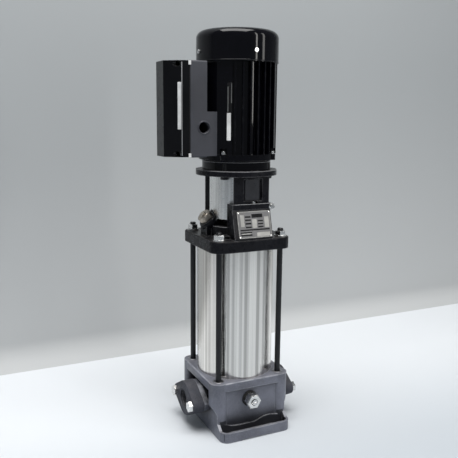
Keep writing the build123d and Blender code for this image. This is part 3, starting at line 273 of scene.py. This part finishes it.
def textured_shell(name, colour, rough, grain, scale=1500.0, specular=0.4, coat=0.0):
    """Moulded or powder-coated shell with a fine spark-eroded grain."""
    look = Look(name)
    base = look.patches(shade(colour, 0.85), shade(colour, 1.18, 0.002), 12.0, 4.0)
    speck = look.ramp(look.noise(scale * 0.8, 2.0), 0.55, 0.75)
    base = look.blend(look.math("MULTIPLY", speck, 0.3), base, shade(colour, 1.9, 0.01))
    edge = look.math("MULTIPLY", look.edges(0.0009), 0.35)
    base = look.blend(edge, base, shade(colour, 2.2, 0.03))
    dirt = look.dust(30.0, 0.35, 0.8, 0.22)
    look.feed("Base Color", look.blend(dirt, base, (0.32, 0.31, 0.29)))
    look.feed("Roughness", look.ramp(look.noise(70.0), *look.MIDDLE, rough - 0.06, rough + 0.08))
    height = look.math("ADD", look.cells(scale), look.noise(scale * 0.5, 3.0))
    look.feed("Normal", look.bump(height, 0.6 * grain, 0.00025, look.soft_edges(0.0008)))
    look.set(Specular_IOR_Level=specular, Coat_Weight=coat, Coat_Roughness=0.12)
    return look.material


def bright_metal(name, colour, rough, stain=0.3, grain=0.25, stain_colour=(0.42, 0.38, 0.32)):
    """Zinc-plated or ground steel: uneven gloss, faint stains and fine scratches."""
    look = Look(name)
    clouds = look.noise(160.0, 5.0, 0.6)
    base = look.blend(look.ramp(clouds, 0.35, 0.7), shade(colour, 0.86), colour)
    mark = look.math("MULTIPLY", look.ramp(look.noise(45.0, 6.0, 0.7), 0.56, 0.78), stain)
    look.feed("Base Color", look.blend(mark, base, stain_colour))
    roughness = look.ramp(clouds, 0.3, 0.75, rough - 0.08, rough + 0.1)
    look.feed("Roughness", look.math("ADD", roughness, look.math("MULTIPLY", mark, 0.5)))
    scratch = look.noise(1.0, 3.0, 0.6, look.stretched((2200.0, 260.0, 900.0)))
    look.feed("Normal", look.bump(scratch, 0.35 * grain, 0.0001, look.soft_edges(0.0004)))
    look.set(Metallic=1.0)
    return look.material


def turned_metal(name, colour, rough, lines, grain, anisotropy, streaks_and_reflections=0.15, drawn_depth=0.1):
    """Metal brushed or turned round the upright axis, with fine lines and upright streaks, whose
    darker colour bands are partly tone, partly painted reflection.
    """
    look = Look(name)
    brush = look.noise(1.0, 3.0, 0.65, look.turned(5.0, lines))
    streak = look.noise(1.0, 4.0, 0.6, look.turned(16.0, 3.0))
    broad = look.noise(1.0, 2.0, 0.5, look.turned(9.0, 0.4))
    # Upright darker bands: partly the metal's tone, partly painted reflections
    base = look.blend(look.ramp(broad, 0.35, 0.62), shade(colour, 1 - streaks_and_reflections), colour)
    grooves = look.math("MULTIPLY", look.ramp(brush, 0.45, 0.75), 0.10)
    base = look.blend(grooves, base, shade(colour, 0.7))
    smudge = look.ramp(look.noise(22.0, 5.0, 0.65), 0.5, 0.8)
    smeared = look.math("MULTIPLY", smudge, 0.10)
    look.feed("Base Color", look.blend(smeared, base, (0.5, 0.47, 0.42)))
    roughness = look.ramp(brush, *look.MIDDLE, rough - 0.05, rough + 0.07)
    look.feed("Roughness", look.math("ADD", roughness, look.math("MULTIPLY", smudge, 0.08)))
    drawn = look.bump(streak, drawn_depth, 0.0009, look.soft_edges(0.0003))
    look.feed("Normal", look.bump(brush, 0.22 * grain, 0.00006, drawn))
    tangent = look.add("ShaderNodeTangent", direction_type="RADIAL", axis="Z")
    look.feed("Tangent", tangent.outputs[0])
    look.set(Metallic=1.0, Anisotropic=anisotropy)
    return look.material


def dull_solid(name, colour, rough, grain=0.3, specular=0.35):
    """Rubber, plastic, carbon and the like: broken colour and a fine matt skin."""
    look = Look(name)
    base = look.patches(shade(colour, 0.82), shade(colour, 1.15, 0.003), 40.0, 5.0)
    look.feed("Base Color", base)
    look.feed("Roughness", look.ramp(look.noise(120.0), *look.MIDDLE, rough - 0.08, rough + 0.08))
    look.feed("Normal", look.bump(look.noise(900.0, 3.0), 0.5 * grain, 0.0002,
                                  look.soft_edges(0.0004)))
    look.set(Specular_IOR_Level=specular)
    return look.material


def wound_copper(name):
    """Enamelled winding wire, laid round the bore in fine turns."""
    look = Look(name)
    wires = look.noise(1.0, 2.0, 0.5, look.turned(420.0, 30.0))
    base = look.blend(look.ramp(wires, 0.35, 0.65), (0.18, 0.055, 0.02), (0.55, 0.24, 0.10))
    look.feed("Base Color", base)
    look.feed("Roughness", look.ramp(wires, *look.MIDDLE, 0.28, 0.5))
    look.feed("Normal", look.bump(wires, 0.7, 0.0008, look.soft_edges(0.0008)))
    look.set(Metallic=0.7)
    return look.material


def stacked_sheets(name, colour):
    """Steel laminations seen from their edges."""
    look = Look(name)
    sheets = look.noise(1.0, 1.0, 0.4, look.turned(2.0, 2000.0))
    base = look.blend(look.ramp(sheets, 0.4, 0.6), shade(colour, 0.55), colour)
    look.feed("Base Color", base)
    look.feed("Roughness", look.ramp(look.noise(90.0), *look.MIDDLE, 0.38, 0.55))
    look.feed("Normal", look.bump(sheets, 0.5, 0.0003, look.soft_edges(0.0004)))
    look.set(Metallic=0.85)
    return look.material


# Painted shade in the foot's trays and at the body's foot: spans in metres from the middle across
# X, along Y and up Z, then how softly it ends upwards and how much of the paint it hides
FOOT_TRAYS = (
    ((0.0, 0.0628), (0.0736, 0.0942), (0.004, 0.0168), 0.0006, 0.93),     # the tray's floor
    ((0.0, 0.0628), (0.0736, 0.0775), (0.004, 0.0300), 0.0006, 0.93),     # its back wall
    ((0.0, 0.0620), (0.0690, 0.0722), (0.000, 0.0200), 0.0300, 0.85),     # the body above it
)

LOOKS = {
    "base_iron": cast_paint("base_iron", (0.142, 0.149, 0.184), rough=0.40, grain=0.7,
                            worn_and_lit_tone=(0.42, 0.43, 0.47), wear_and_highlight=0.8, coat=0.1, specular=0.4, hollow_shade=0.95,
                            edge_radius=0.0028, trays=FOOT_TRAYS, rim=0.75),
    "flange_iron": cast_paint("flange_iron", (0.056, 0.058, 0.070), rough=0.56, grain=0.9,
                              worn_and_lit_tone=(0.36, 0.36, 0.38), wear_and_highlight=0.8, dust=0.12, specular=0.08),
    "head_black": cast_paint("head_black", (0.0045, 0.0047, 0.007), rough=0.30, grain=0.5,
                             worn_and_lit_tone=(0.22, 0.22, 0.23), wear_and_highlight=0.6, dust=0.16, coat=0.02,
                             specular=0.14, hollow_shade=0.5, edge_radius=0.0022),
    "sleeve_steel": turned_metal("sleeve_steel", (0.85, 0.825, 0.785), rough=0.14, lines=2600.0,
                                 grain=0.3, anisotropy=0.5, streaks_and_reflections=0.45, drawn_depth=0.75),
    "guard_steel": turned_metal("guard_steel", (0.95, 0.95, 0.94), rough=0.30, lines=1800.0,
                                grain=0.35, anisotropy=0.4, streaks_and_reflections=0.2),
    "bolt_black": gloss_paint("bolt_black", (0.006, 0.0065, 0.0085), rough=0.34, coat=0.1,
                              coat_rough=0.2, dust=0.05, specular=0.3),
    "bright_steel": bright_metal("bright_steel", (0.80, 0.80, 0.79), rough=0.24),
    "chamber_steel": turned_metal("chamber_steel", (0.62, 0.62, 0.61), rough=0.34, lines=1500.0,
                                  grain=0.4, anisotropy=0.2),
    "shaft_steel": bright_metal("shaft_steel", (0.66, 0.66, 0.66), rough=0.2, stain=0.15),
    "motor_black": gloss_paint("motor_black", (0.0010, 0.0010, 0.0024), rough=0.18, coat=0.5,
                               coat_rough=0.05, peel=0.35, dust=0.02, specular=0.02),
    "box_gray": textured_shell("box_gray", (0.042, 0.044, 0.054), rough=0.44, grain=0.7),
    "lid_black": textured_shell("lid_black", (0.0010, 0.0010, 0.002), rough=0.22, grain=0.12,
                                scale=1800.0, specular=0.02, coat=0.6),
    "rubber": dull_solid("rubber", (0.016, 0.016, 0.017), rough=0.74),
    "copper": wound_copper("copper"),
    "core_steel": stacked_sheets("core_steel", (0.34, 0.34, 0.35)),
    "plastic_white": dull_solid("plastic_white", (0.74, 0.73, 0.69), rough=0.42, grain=0.2,
                                specular=0.5),
    "plate_metal": bright_metal("plate_metal", (0.17, 0.17, 0.175), rough=0.42, stain=0.2,
                                grain=0.5),
    "carbon": dull_solid("carbon", (0.035, 0.035, 0.038), rough=0.4, grain=0.15, specular=0.5),
    "bronze": bright_metal("bronze", (0.56, 0.38, 0.16), rough=0.35),
    "black_plastic": textured_shell("black_plastic", (0.018, 0.018, 0.02), rough=0.48, grain=0.5,
                                    scale=1400.0),
}
# Nodes whose look differs from that of their material slot
OWN_LOOKS = {
    "motor_flange_bolts": LOOKS["bolt_black"],
    "filling_plug": bright_metal("plug_steel", (0.50, 0.45, 0.39), rough=0.44, stain=0.6,
                                 grain=0.5, stain_colour=(0.30, 0.24, 0.18)),
    "vent_screw": bright_metal("vent_steel", (0.62, 0.57, 0.50), rough=0.40, stain=0.4,
                               grain=0.5, stain_colour=(0.34, 0.28, 0.22)),
}
for part in frame["record"]["subparts"]:
    slots = nodes[part["node"]].data.materials
    slots.clear()
    slots.append(OWN_LOOKS.get(part["node"]) or LOOKS[part["material_slot"]])

CELL_LIGHT = bright_metal("cell_light", (0.34, 0.34, 0.33), rough=0.40, stain=0.15, grain=0.5)
CELL_DARK = dull_solid("cell_dark", (0.010, 0.010, 0.011), rough=0.6, grain=0.2, specular=0.1)
LABEL_WHITE = dull_solid("label_white", (0.80, 0.80, 0.79), rough=0.34, grain=0.1, specular=0.5)
# Light gloss paint for thin beads and bars that paint highlights along edges
EDGE_HIGHLIGHT = gloss_paint("edge_highlight", (0.30, 0.30, 0.31), rough=0.3, coat=0.3, coat_rough=0.15,
                        dust=0.1)
BARE_RING = bright_metal("bare_ring", (0.34, 0.34, 0.36), rough=0.36, stain=0.4, grain=0.5)
PANEL_PAINT = cast_paint("panel_paint", (0.020, 0.021, 0.026), rough=0.34,
                         worn_and_lit_tone=(0.16, 0.16, 0.17), wear_and_highlight=0.4, dust=0.1, coat=0.1, specular=0.4)


# ---------------------------------------------------------------- added pieces, in millimetres
SUNK = 0.3          # how deep the foot of a thin piece sits in what carries it
UP, RIGHT, FRONT, BACK = (0, 0, 1), (1, 0, 0), (0, -1, 0), (0, 1, 0)


def piece(name, verts, faces, look, smooth=False):
    """A mesh in millimetres that stays with the pump's fixed body."""
    mesh = bpy.data.meshes.new(name)
    mesh.from_pydata([tuple(c * MM for c in v) for v in verts], [], faces)
    work = bmesh.new()
    work.from_mesh(mesh)
    bmesh.ops.remove_doubles(work, verts=work.verts, dist=1e-7)
    bmesh.ops.recalc_face_normals(work, faces=work.faces)
    work.to_mesh(mesh)
    work.free()
    for face in mesh.polygons:
        face.use_smooth = smooth
    mesh.materials.append(look)
    obj = bpy.data.objects.new(name, mesh)
    bpy.context.scene.collection.objects.link(obj)
    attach(obj, "pump_frame")
    return obj


def slabs(name, origin, across, up, rects, thick, look, chamfer=0.25):
    """Thin bevelled plates on a plane: rects are (left, right, low, high) along across and up."""
    origin, across, up = Vector(origin), Vector(across).normalized(), Vector(up).normalized()
    out = across.cross(up)
    verts, faces = [], []
    for left, right, low, high in rects:
        base = len(verts)
        for inset, rise in ((0, -SUNK), (0, thick - chamfer * 0.5), (chamfer, thick)):
            for u, v in ((left + inset, low + inset), (right - inset, low + inset),
                         (right - inset, high - inset), (left + inset, high - inset)):
                verts.append(origin + across * u + up * v + out * rise)
        for ring in (0, 4):
            for i in range(4):
                j = (i + 1) % 4
                faces.append((base + ring + i, base + ring + j, base + ring + 4 + j,
                              base + ring + 4 + i))
        faces.append((base + 8, base + 9, base + 10, base + 11))
        faces.append((base + 3, base + 2, base + 1, base))
    return piece(name, verts, faces, look)


def spun(name, centre, axis, profile, look, steps=72):
    """A closed profile of (radius, height) turned all round an axis."""
    axis = Vector(axis).normalized()
    side = axis.orthogonal().normalized() if abs(axis.z) < 0.99 else Vector(RIGHT)
    other = axis.cross(side)
    centre = Vector(centre)
    n = len(profile)
    verts, faces = [], []
    for i in range(steps):
        a = 2 * pi * i / steps
        ray = side * cos(a) + other * sin(a)
        verts += [centre + ray * r + axis * h for r, h in profile]
    for i in range(steps):
        k = (i + 1) % steps
        for j in range(n):
            m = (j + 1) % n
            faces.append((i * n + j, i * n + m, k * n + m, k * n + j))
    return piece(name, verts, faces, look, True)


def bead(radius, width, height, steps=8):
    """Half-round profile that stands out from a radius."""
    sunk = 0.4
    points = [(radius - sunk, -width / 2)]
    for i in range(steps + 1):
        a = -pi / 2 + pi * i / steps
        points.append((radius + height * cos(a), width / 2 * sin(a)))
    points.append((radius - sunk, width / 2))
    return points


def thread(name, centre, axis, radius, depth, pitch, length, look, inward=False, steps=36):
    """A helical ridge of triangular section round an axis, which fades out at both ends."""
    axis = Vector(axis).normalized()
    side = axis.orthogonal().normalized()
    other = axis.cross(side)
    centre = Vector(centre)
    sign = -1 if inward else 1
    sunk = 0.2
    foot_low, crest, foot_high = 0.02, pitch * 0.5, pitch * 0.98
    total = int(steps * (length - pitch) / pitch)
    verts, faces = [], []
    for i in range(total + 1):
        a = 2 * pi * i / steps
        ray = side * cos(a) + other * sin(a)
        rise = pitch * i / steps
        fade = min(1.0, i / steps * 2, (total - i) / steps * 2)
        for r, h in ((radius - sign * sunk, foot_low), (radius + sign * depth * fade, crest),
                     (radius - sign * sunk, foot_high)):
            verts.append(centre + ray * r + axis * (rise + h))
    for i in range(total):
        for j in range(3):
            m = (j + 1) % 3
            faces.append((i * 3 + j, i * 3 + m, i * 3 + 3 + m, i * 3 + 3 + j))
    faces.append((0, 1, 2))
    faces.append((total * 3 + 2, total * 3 + 1, total * 3))
    return piece(name, verts, faces, look)


def bar(name, start, end, radius, look, steps=12):
    """A round bar with domed ends between two points."""
    start, end = Vector(start), Vector(end)
    run = (end - start).length
    dome_steps = 3
    profile = [(0.0, 0.0)]
    for i in range(1, dome_steps + 1):
        a = pi / 2 * i / dome_steps
        profile.append((radius * sin(a), radius * (1 - cos(a))))
    for i in range(dome_steps):
        a = pi / 2 * i / dome_steps
        profile.append((radius * cos(a), run - radius * (1 - sin(a))))
    profile.append((0.0, run))
    return spun(name, start, end - start, profile, look, steps)


def bowed(name, radius, turn_from, turn_to, low, high, thick, look, steps=8):
    """A thin label bent round the motor; turns are degrees from the front towards the box."""
    verts, faces = [], []
    for i in range(steps + 1):
        a = radians(turn_from + (turn_to - turn_from) * i / steps)
        for r in (radius - SUNK, radius + thick):
            for z in (low, high):
                verts.append((-r * sin(a), -r * cos(a), z))
    for i in range(steps):
        a, b = i * 4, i * 4 + 4
        faces += [(a, b, b + 1, a + 1), (a + 2, a + 3, b + 3, b + 2), (a, a + 2, b + 2, b),
                  (a + 1, b + 1, b + 3, a + 3)]
    end = steps * 4
    faces += [(0, 1, 3, 2), (end, end + 2, end + 3, end + 1)]
    return piece(name, verts, faces, look)


BOX_FRONT = -38.0                       # Y of the terminal box's front face
LID_LOW, LID_HIGH = 489.0, 637.0
LID_SLANT = (25.4, -20.4, 0)            # along the lid's slanted face, towards the front
ENTRY_X, ENTRY_Z = -77.0, 534.0         # the cable entry's axis
ENTRY_RIM = [(9.3, -SUNK), (9.3, 0.6), (9.9, 0.9), (11.4, 0.6), (11.6, -SUNK)]


def make_box_details():
    """Blank label on the lid's slant, painted highlight lines on the lid's edges, painted glints at
    the seam's ends and the cable entry.
    """
    left, right, tall = 24.0, 30.2, 74.7
    slabs("lid_label", (-139.8, -17.6, 531.0), LID_SLANT, UP, [(left, right, 0, tall)], 0.3,
          LABEL_WHITE)
    # Painted highlights: light bars along the lid's edges
    for name, x, y, radius in (("lid_edge_highlight", -115.6, -37.6, 0.7),
                               ("lid_side_highlight", -139.2, -17.3, 0.5)):
        bar(name, (x, y, LID_LOW), (x, y, LID_HIGH), radius, EDGE_HIGHLIGHT)
    # Painted glints: small white slabs at both ends of the lid's seam, where its corners catch the
    # light
    glint_x, glint_wide, glint_tall, glint_thick = -104.6, 4.6, 6.5, 0.8
    for name, low in (("seam_glint_low", 486.0), ("seam_glint_high", 633.0)):
        slabs(name, (glint_x, BOX_FRONT, low), RIGHT, UP, [(0, glint_wide, 0, glint_tall)], glint_thick,
              LABEL_WHITE)
    thread("entry_thread", (ENTRY_X, BOX_FRONT + 0.4, ENTRY_Z), BACK, radius=9.2, depth=0.5,
           pitch=1.5, length=7.6, look=LOOKS["box_gray"], inward=True)
    spun("entry_rim", (ENTRY_X, BOX_FRONT, ENTRY_Z), FRONT, ENTRY_RIM, LOOKS["box_gray"],
         48)


PAD_RADIUS = 66.0           # the housing's smooth pad, on the side towards the box
PLATE_THICK = 0.35
STRIP_THICK = 0.15


def make_motor_details():
    """Blank labels on the smooth pad, the cover's rolled hem and the screw slots."""
    bowed("motor_label", PAD_RADIUS, 34.0, 39.8, 513.5, 558.0, 0.3, LABEL_WHITE)
    bowed("motor_plate", PAD_RADIUS, 32.4, 39.6, 559.5, 606.0, PLATE_THICK, CELL_DARK)
    for name, turn_from, turn_to, low, high in (("motor_plate_left", 37.6, 39.2, 560.5, 600.0),
                                                ("motor_plate_right", 32.8, 34.0, 574.0, 605.0)):
        bowed(name, PAD_RADIUS + PLATE_THICK, turn_from, turn_to, low, high, STRIP_THICK,
              CELL_LIGHT, 3)
    spun("cover_hem", (0, 0, 642.6), UP, bead(70.4, 1.8, 0.6), LOOKS["motor_black"],
         144)
    head_out, head_z, slot_half, slot_half_wide = 72.02, 658.0, 2.2, 0.35
    for i in range(4):
        a = radians(90 * i)
        out, across = Vector((cos(a), sin(a), 0)), Vector((-sin(a), cos(a), 0))
        slabs(f"cover_screw_slot_{i}", out * head_out + Vector((0, 0, head_z)), across, UP,
              [(-slot_half, slot_half, -slot_half_wide, slot_half_wide)], 0.03, CELL_DARK,
              0.02)


# Blank cells on the nameplate: (left, right, low, high) as shares of the plate
PLATE_CELLS_LIGHT = ((0.09, 0.20, 0.43, 0.87), (0.43, 0.57, 0.37, 0.70), (0.80, 0.94, 0.37, 0.77),
                     (0.54, 0.94, 0.05, 0.20), (0.09, 0.37, 0.15, 0.185))
PLATE_CELLS_DARK = ((0.23, 0.40, 0.76, 0.82), (0.23, 0.40, 0.64, 0.70), (0.23, 0.40, 0.51, 0.57),
                    (0.23, 0.40, 0.38, 0.43), (0.60, 0.76, 0.60, 0.65), (0.60, 0.76, 0.49, 0.54),
                    (0.60, 0.76, 0.38, 0.43), (0.43, 0.76, 0.75, 0.89), (0.06, 0.94, 0.28, 0.33),
                    (0.06, 0.40, 0.19, 0.235), (0.06, 0.40, 0.09, 0.14))


def make_nameplate():
    """Raised border and blank cells on the plinth's plate, with no words in them."""
    plate = nodes["pump_nameplate"]
    front = [p for p in plate.data.polygons if p.normal.y < -0.9]
    facing = max(front, key=lambda p: p.area)
    out = Vector(facing.normal)
    points = [plate.data.vertices[v].co for p in front if p.normal.dot(out) > 0.999
              for v in p.vertices]
    across = Vector(RIGHT)
    up = out.cross(across).normalized()
    left, right = min(p.x for p in points) / MM, max(p.x for p in points) / MM
    lows = [p.dot(up) / MM for p in points]
    low, high = min(lows), max(lows)
    start = Vector(facing.center) / MM
    origin = start + across * (left - start.x) + up * (low - start.dot(up))
    wide, tall = right - left, high - low

    for name, shares, look in (("plate_cells_light", PLATE_CELLS_LIGHT, CELL_LIGHT),
                               ("plate_cells_dark", PLATE_CELLS_DARK, CELL_DARK)):
        cells = [(a * wide, b * wide, c * tall, d * tall) for a, b, c, d in shares]
        slabs(name, origin, across, up, cells, 0.12, look, 0.08)
    outer, inner = 0.5, 1.6             # the border's two edges, in from the plate's
    slabs("plate_border", origin, across, up,
          [(outer, wide - outer, outer, inner), (outer, wide - outer, tall - inner, tall - outer),
           (outer, inner, inner, tall - inner), (wide - inner, wide - outer, inner, tall - inner)],
          0.2, CELL_LIGHT, 0.12)


BOSS_START = (-44.0, 0, 365.0)                      # on the filling plug's axis
BOSS_AXIS = (-sin(pi / 4), 0, cos(pi / 4))
BOSS_RING = [(9.0, 5.0), (17.2, 5.0), (17.8, 7.0), (17.8, 13.5), (16.8, 15.5), (15.2, 16.4),
             (9.0, 16.4)]
PLINTH_HALF = 33.8                                  # half of the nameplate plinth's width


def make_head_details():
    """Ring behind the filling plug, a bright pin beside it as a painted highlight, a panel in the
    recess and painted highlight lines on rims.
    """
    spun("boss_ring", BOSS_START, BOSS_AXIS, BOSS_RING, LOOKS["head_black"])
    # Painted highlight: a bright pin where the boss's rim catches the light
    bar("boss_glint_pin", (-41.7, -16.0, 380.9), (-50.2, -16.0, 370.1), 0.8, LOOKS["bright_steel"])
    # Painted highlight: a light bead round the collar's edge
    spun("collar_highlight", (0, 0, 365.7), UP, bead(53.9, 0.9, 0.35), EDGE_HIGHLIGHT, 120)
    panel_wide, panel_tall = 26.8, 36.0
    slabs("pillar_panel", (-9.6, -56.0, 412.4), RIGHT, UP, [(0, panel_wide, 0, panel_tall)], 0.4,
          PANEL_PAINT, 0.3)
    # Painted highlights: a light bar along the plinth's edge, and light beads round the stool's rim
    # and the neck
    plinth_y, plinth_z = -62.2, 407.0
    bar("plinth_highlight", (2.0 - PLINTH_HALF, plinth_y, plinth_z),
        (PLINTH_HALF + 1.0, plinth_y, plinth_z), 0.45, EDGE_HIGHLIGHT)
    spun("stool_rim_highlight", (0, 0, 462.2), UP, bead(70.8, 0.7, 0.3), EDGE_HIGHLIGHT, 144)
    spun("neck_highlight", (0, 0, 476.5), UP, bead(60.0, 0.8, 0.4), EDGE_HIGHLIGHT, 144)


STAYBOLT_OFF = 58.5                     # each staybolt's distance from both middle planes
NUT_TOP, BASE_TOP = 357.6, 98.0
STAYBOLT_RING = [(5.3, -SUNK), (5.3, 0.5), (6.0, 0.9), (8.6, 0.9), (9.4, 0.4), (9.4, -SUNK)]


def make_bolt_details():
    """Thread on each staybolt above its nut and a machined ring round its foot."""
    for i, (sx, sy) in enumerate(((-1, -1), (1, -1), (-1, 1), (1, 1))):
        x, y = STAYBOLT_OFF * sx, STAYBOLT_OFF * sy
        thread(f"staybolt_thread_{i}", (x, y, NUT_TOP), UP, radius=5.0, depth=0.35, pitch=1.25,
               length=4.4, look=LOOKS["bolt_black"])
        spun(f"staybolt_ring_{i}", (x, y, BASE_TOP), UP, STAYBOLT_RING, BARE_RING, 48)


FLANGE_FACE = 101.0                     # X of the flanges' outer faces
PORT_Z = 50.4
MOUTH_RIM = [(15.3, -SUNK), (15.3, 0.3), (15.9, 0.6), (18.6, 0.6), (19.2, 0.2), (19.2, -SUNK)]


def make_port_details():
    """Pipe threads inside both ports and a rim round each flange's mouth."""
    for name, side in (("inlet", -1), ("outlet", 1)):
        mouth = (side * FLANGE_FACE, 0, PORT_Z)
        thread(f"{name}_thread", mouth, (-side, 0, 0), radius=15.15, depth=0.55, pitch=2.31,
               length=19.0, look=LOOKS["flange_iron"], inward=True, steps=48)
        spun(f"{name}_mouth", mouth, (side, 0, 0), MOUTH_RIM, LOOKS["flange_iron"],
             60)


def make_sleeve_seam():
    """The sleeve's longitudinal weld at the back."""
    sleeve_radius, low, high = 68.0, 99.5, 326.5
    bar("sleeve_seam", (0, sleeve_radius, low), (0, sleeve_radius, high), 0.75,
        LOOKS["sleeve_steel"])


make_box_details()
make_motor_details()
make_nameplate()
make_head_details()
make_bolt_details()
make_port_details()
make_sleeve_seam()


# ---------------------------------------------------------------- stage and light, in metres
STAGE_HALF = 3.0
FLOOR_TONE = (0.78, 0.81, 0.84)
# Painted shade and light: the floor is darker towards the front and lighter towards the wall
FLOOR_NEAR_SHADE = (0.52, 0.56, 0.60)
FLOOR_FADE = (-0.30, 0.16)              # along Y, from the near tone to the far one
WALL_Y, WALL_TOP = 0.41, 3.0
WALL_RADIUS = 0.05                      # where the wall turns into the floor
WALL_LIFT = 0.0005                      # the wall's foot over the floor
WALL_TONE = (0.37, 0.39, 0.40)
# Painted light: the wall is lighter at its foot, fading into WALL_TONE up to WALL_FADE
WALL_FOOT_LIGHT = (0.53, 0.545, 0.55)
WALL_FADE = 0.75                        # height at which the wall has its own tone
DAYLIGHT = (0.86, 0.93, 1.0)
WORLD_LIGHT, WORLD_SEEN = 0.13, 0.19    # strength as light, and in view or in reflections


def staged(name, corners, faces, look):
    """A floor or backdrop, which isn't part of the pump."""
    mesh = bpy.data.meshes.new(name)
    mesh.from_pydata(corners, [], faces)
    for face in mesh.polygons:
        face.use_smooth = len(faces) > 1
    mesh.materials.append(look.material)
    obj = bpy.data.objects.new(name, mesh)
    bpy.context.scene.collection.objects.link(obj)


def make_floor():
    look = Look("floor")
    base = look.blend(look.ramp(look.split(look.place)["Y"], *FLOOR_FADE), FLOOR_NEAR_SHADE,
                      FLOOR_TONE)
    cloud = look.ramp(look.noise(2.2, 3.0), *look.MIDDLE)
    look.feed("Base Color", look.blend(cloud, base, (0.985, 0.985, 0.985), "MULTIPLY"))
    look.set(Roughness=0.55, Specular_IOR_Level=0.25)
    h = STAGE_HALF
    staged("floor", [(-h, -h, 0), (h, -h, 0), (h, h, 0), (-h, h, 0)], [(0, 1, 2, 3)], look)


def make_wall():
    """A wall close behind, seen from its front only, so that other views look past it."""
    look = Look("wall")
    lift = look.ramp(look.split(look.place)["Z"], 0.0, WALL_FADE)
    base = look.blend(lift, WALL_FOOT_LIGHT, WALL_TONE)
    cloud = look.ramp(look.noise(1.3, 2.0), *look.MIDDLE)
    look.feed("Base Color", look.blend(cloud, base, (0.97, 0.97, 0.97), "MULTIPLY"))
    look.set(Roughness=0.8)
    mix = look.add("ShaderNodeMixShader")
    look.join(look.add("ShaderNodeNewGeometry").outputs["Backfacing"], mix.inputs[0])
    look.join(look.shader.outputs[0], mix.inputs[1])
    look.join(look.add("ShaderNodeBsdfTransparent").outputs[0], mix.inputs[2])
    look.join(mix.outputs[0], look.output.inputs["Surface"])

    steps = 8
    line = [(WALL_Y - WALL_RADIUS, WALL_LIFT)]
    for i in range(1, steps + 1):
        a = pi / 2 * i / steps
        line.append((WALL_Y - WALL_RADIUS + WALL_RADIUS * sin(a),
                     WALL_RADIUS * (1 - cos(a)) + WALL_LIFT))
    line.append((WALL_Y, WALL_TOP))
    n = len(line)
    corners = [(x, y, z) for x in (-STAGE_HALF, STAGE_HALF) for y, z in line]
    staged("wall", corners, [(i, n + i, n + i + 1, i + 1) for i in range(n - 1)], look)


def lamp(name, place, aim, width, height, power, tone):
    """A rectangular lamp that faces a point."""
    data = bpy.data.lights.new(name, "AREA")
    data.shape = "RECTANGLE"
    data.size, data.size_y, data.energy, data.color = width, height, power, tone
    obj = bpy.data.objects.new(name, data)
    obj.location = place
    obj.rotation_euler = (Vector(aim) - Vector(place)).to_track_quat("-Z", "Y").to_euler()
    bpy.context.scene.collection.objects.link(obj)


def make_light():
    """A pale world, one large lamp overhead and two narrow windows at the right."""
    world = bpy.data.worlds.new("studio")
    bpy.context.scene.world = world
    world.use_nodes = True
    tree = world.node_tree
    back = tree.nodes["Background"]
    back.inputs["Color"].default_value = (*DAYLIGHT, 1.0)
    rays = tree.nodes.new("ShaderNodeLightPath").outputs
    seen = rays["Is Camera Ray"]
    for kind in ("Is Glossy Ray", "Is Transmission Ray"):
        either = tree.nodes.new("ShaderNodeMath")
        either.operation = "MAXIMUM"
        tree.links.new(seen, either.inputs[0])
        tree.links.new(rays[kind], either.inputs[1])
        seen = either.outputs[0]
    level = tree.nodes.new("ShaderNodeMapRange")
    level.inputs["To Min"].default_value = WORLD_LIGHT
    level.inputs["To Max"].default_value = WORLD_SEEN
    tree.links.new(seen, level.inputs["Value"])
    tree.links.new(level.outputs["Result"], back.inputs["Strength"])
    lamp("overhead", (-0.3, -0.4, 2.4), (0, 0, 0.1), width=1.9, height=1.3, power=68.0,
         tone=(1.0, 0.99, 0.98))
    lamp("window", (0.73, -1.43, 1.05), (0, 0, 0.5), width=0.13, height=1.1, power=4.2,
         tone=(1.0, 0.98, 0.95))
    lamp("side_window", (1.22, -1.06, 1.0), (0, 0, 0.45), width=0.2, height=1.1, power=3.6,
         tone=(1.0, 0.98, 0.95))


# ---------------------------------------------------------------- camera
CAMERA_PLACE = (-475.4, -981.4, 549.9)              # millimetres
CAMERA_TURN = radians(25.233)                       # from +Y towards +X
CAMERA_DIP = radians(10.178)
CAMERA_ROLL = radians(0.488)
SENSOR, LENS = 36.0, 48.5796                        # millimetres


def make_camera():
    """The photograph's view: from the front left, a little above the pump's middle."""
    turn, dip, roll = CAMERA_TURN, CAMERA_DIP, CAMERA_ROLL
    ahead = Vector((sin(turn) * cos(dip), cos(turn) * cos(dip), -sin(dip)))
    level = Vector((cos(turn), -sin(turn), 0))
    over = level.cross(ahead)
    right = cos(roll) * level + sin(roll) * over
    up = -sin(roll) * level + cos(roll) * over
    data = bpy.data.cameras.new("camera")
    data.sensor_width, data.lens = SENSOR, LENS
    camera = bpy.data.objects.new("camera", data)
    camera.matrix_world = Matrix((right, up, -ahead)).transposed().to_4x4()
    camera.location = Vector(CAMERA_PLACE) * MM
    bpy.context.scene.collection.objects.link(camera)
    bpy.context.scene.camera = camera


make_floor()
make_wall()
make_light()
make_camera()
bpy.context.scene.view_settings.view_transform = "Standard"
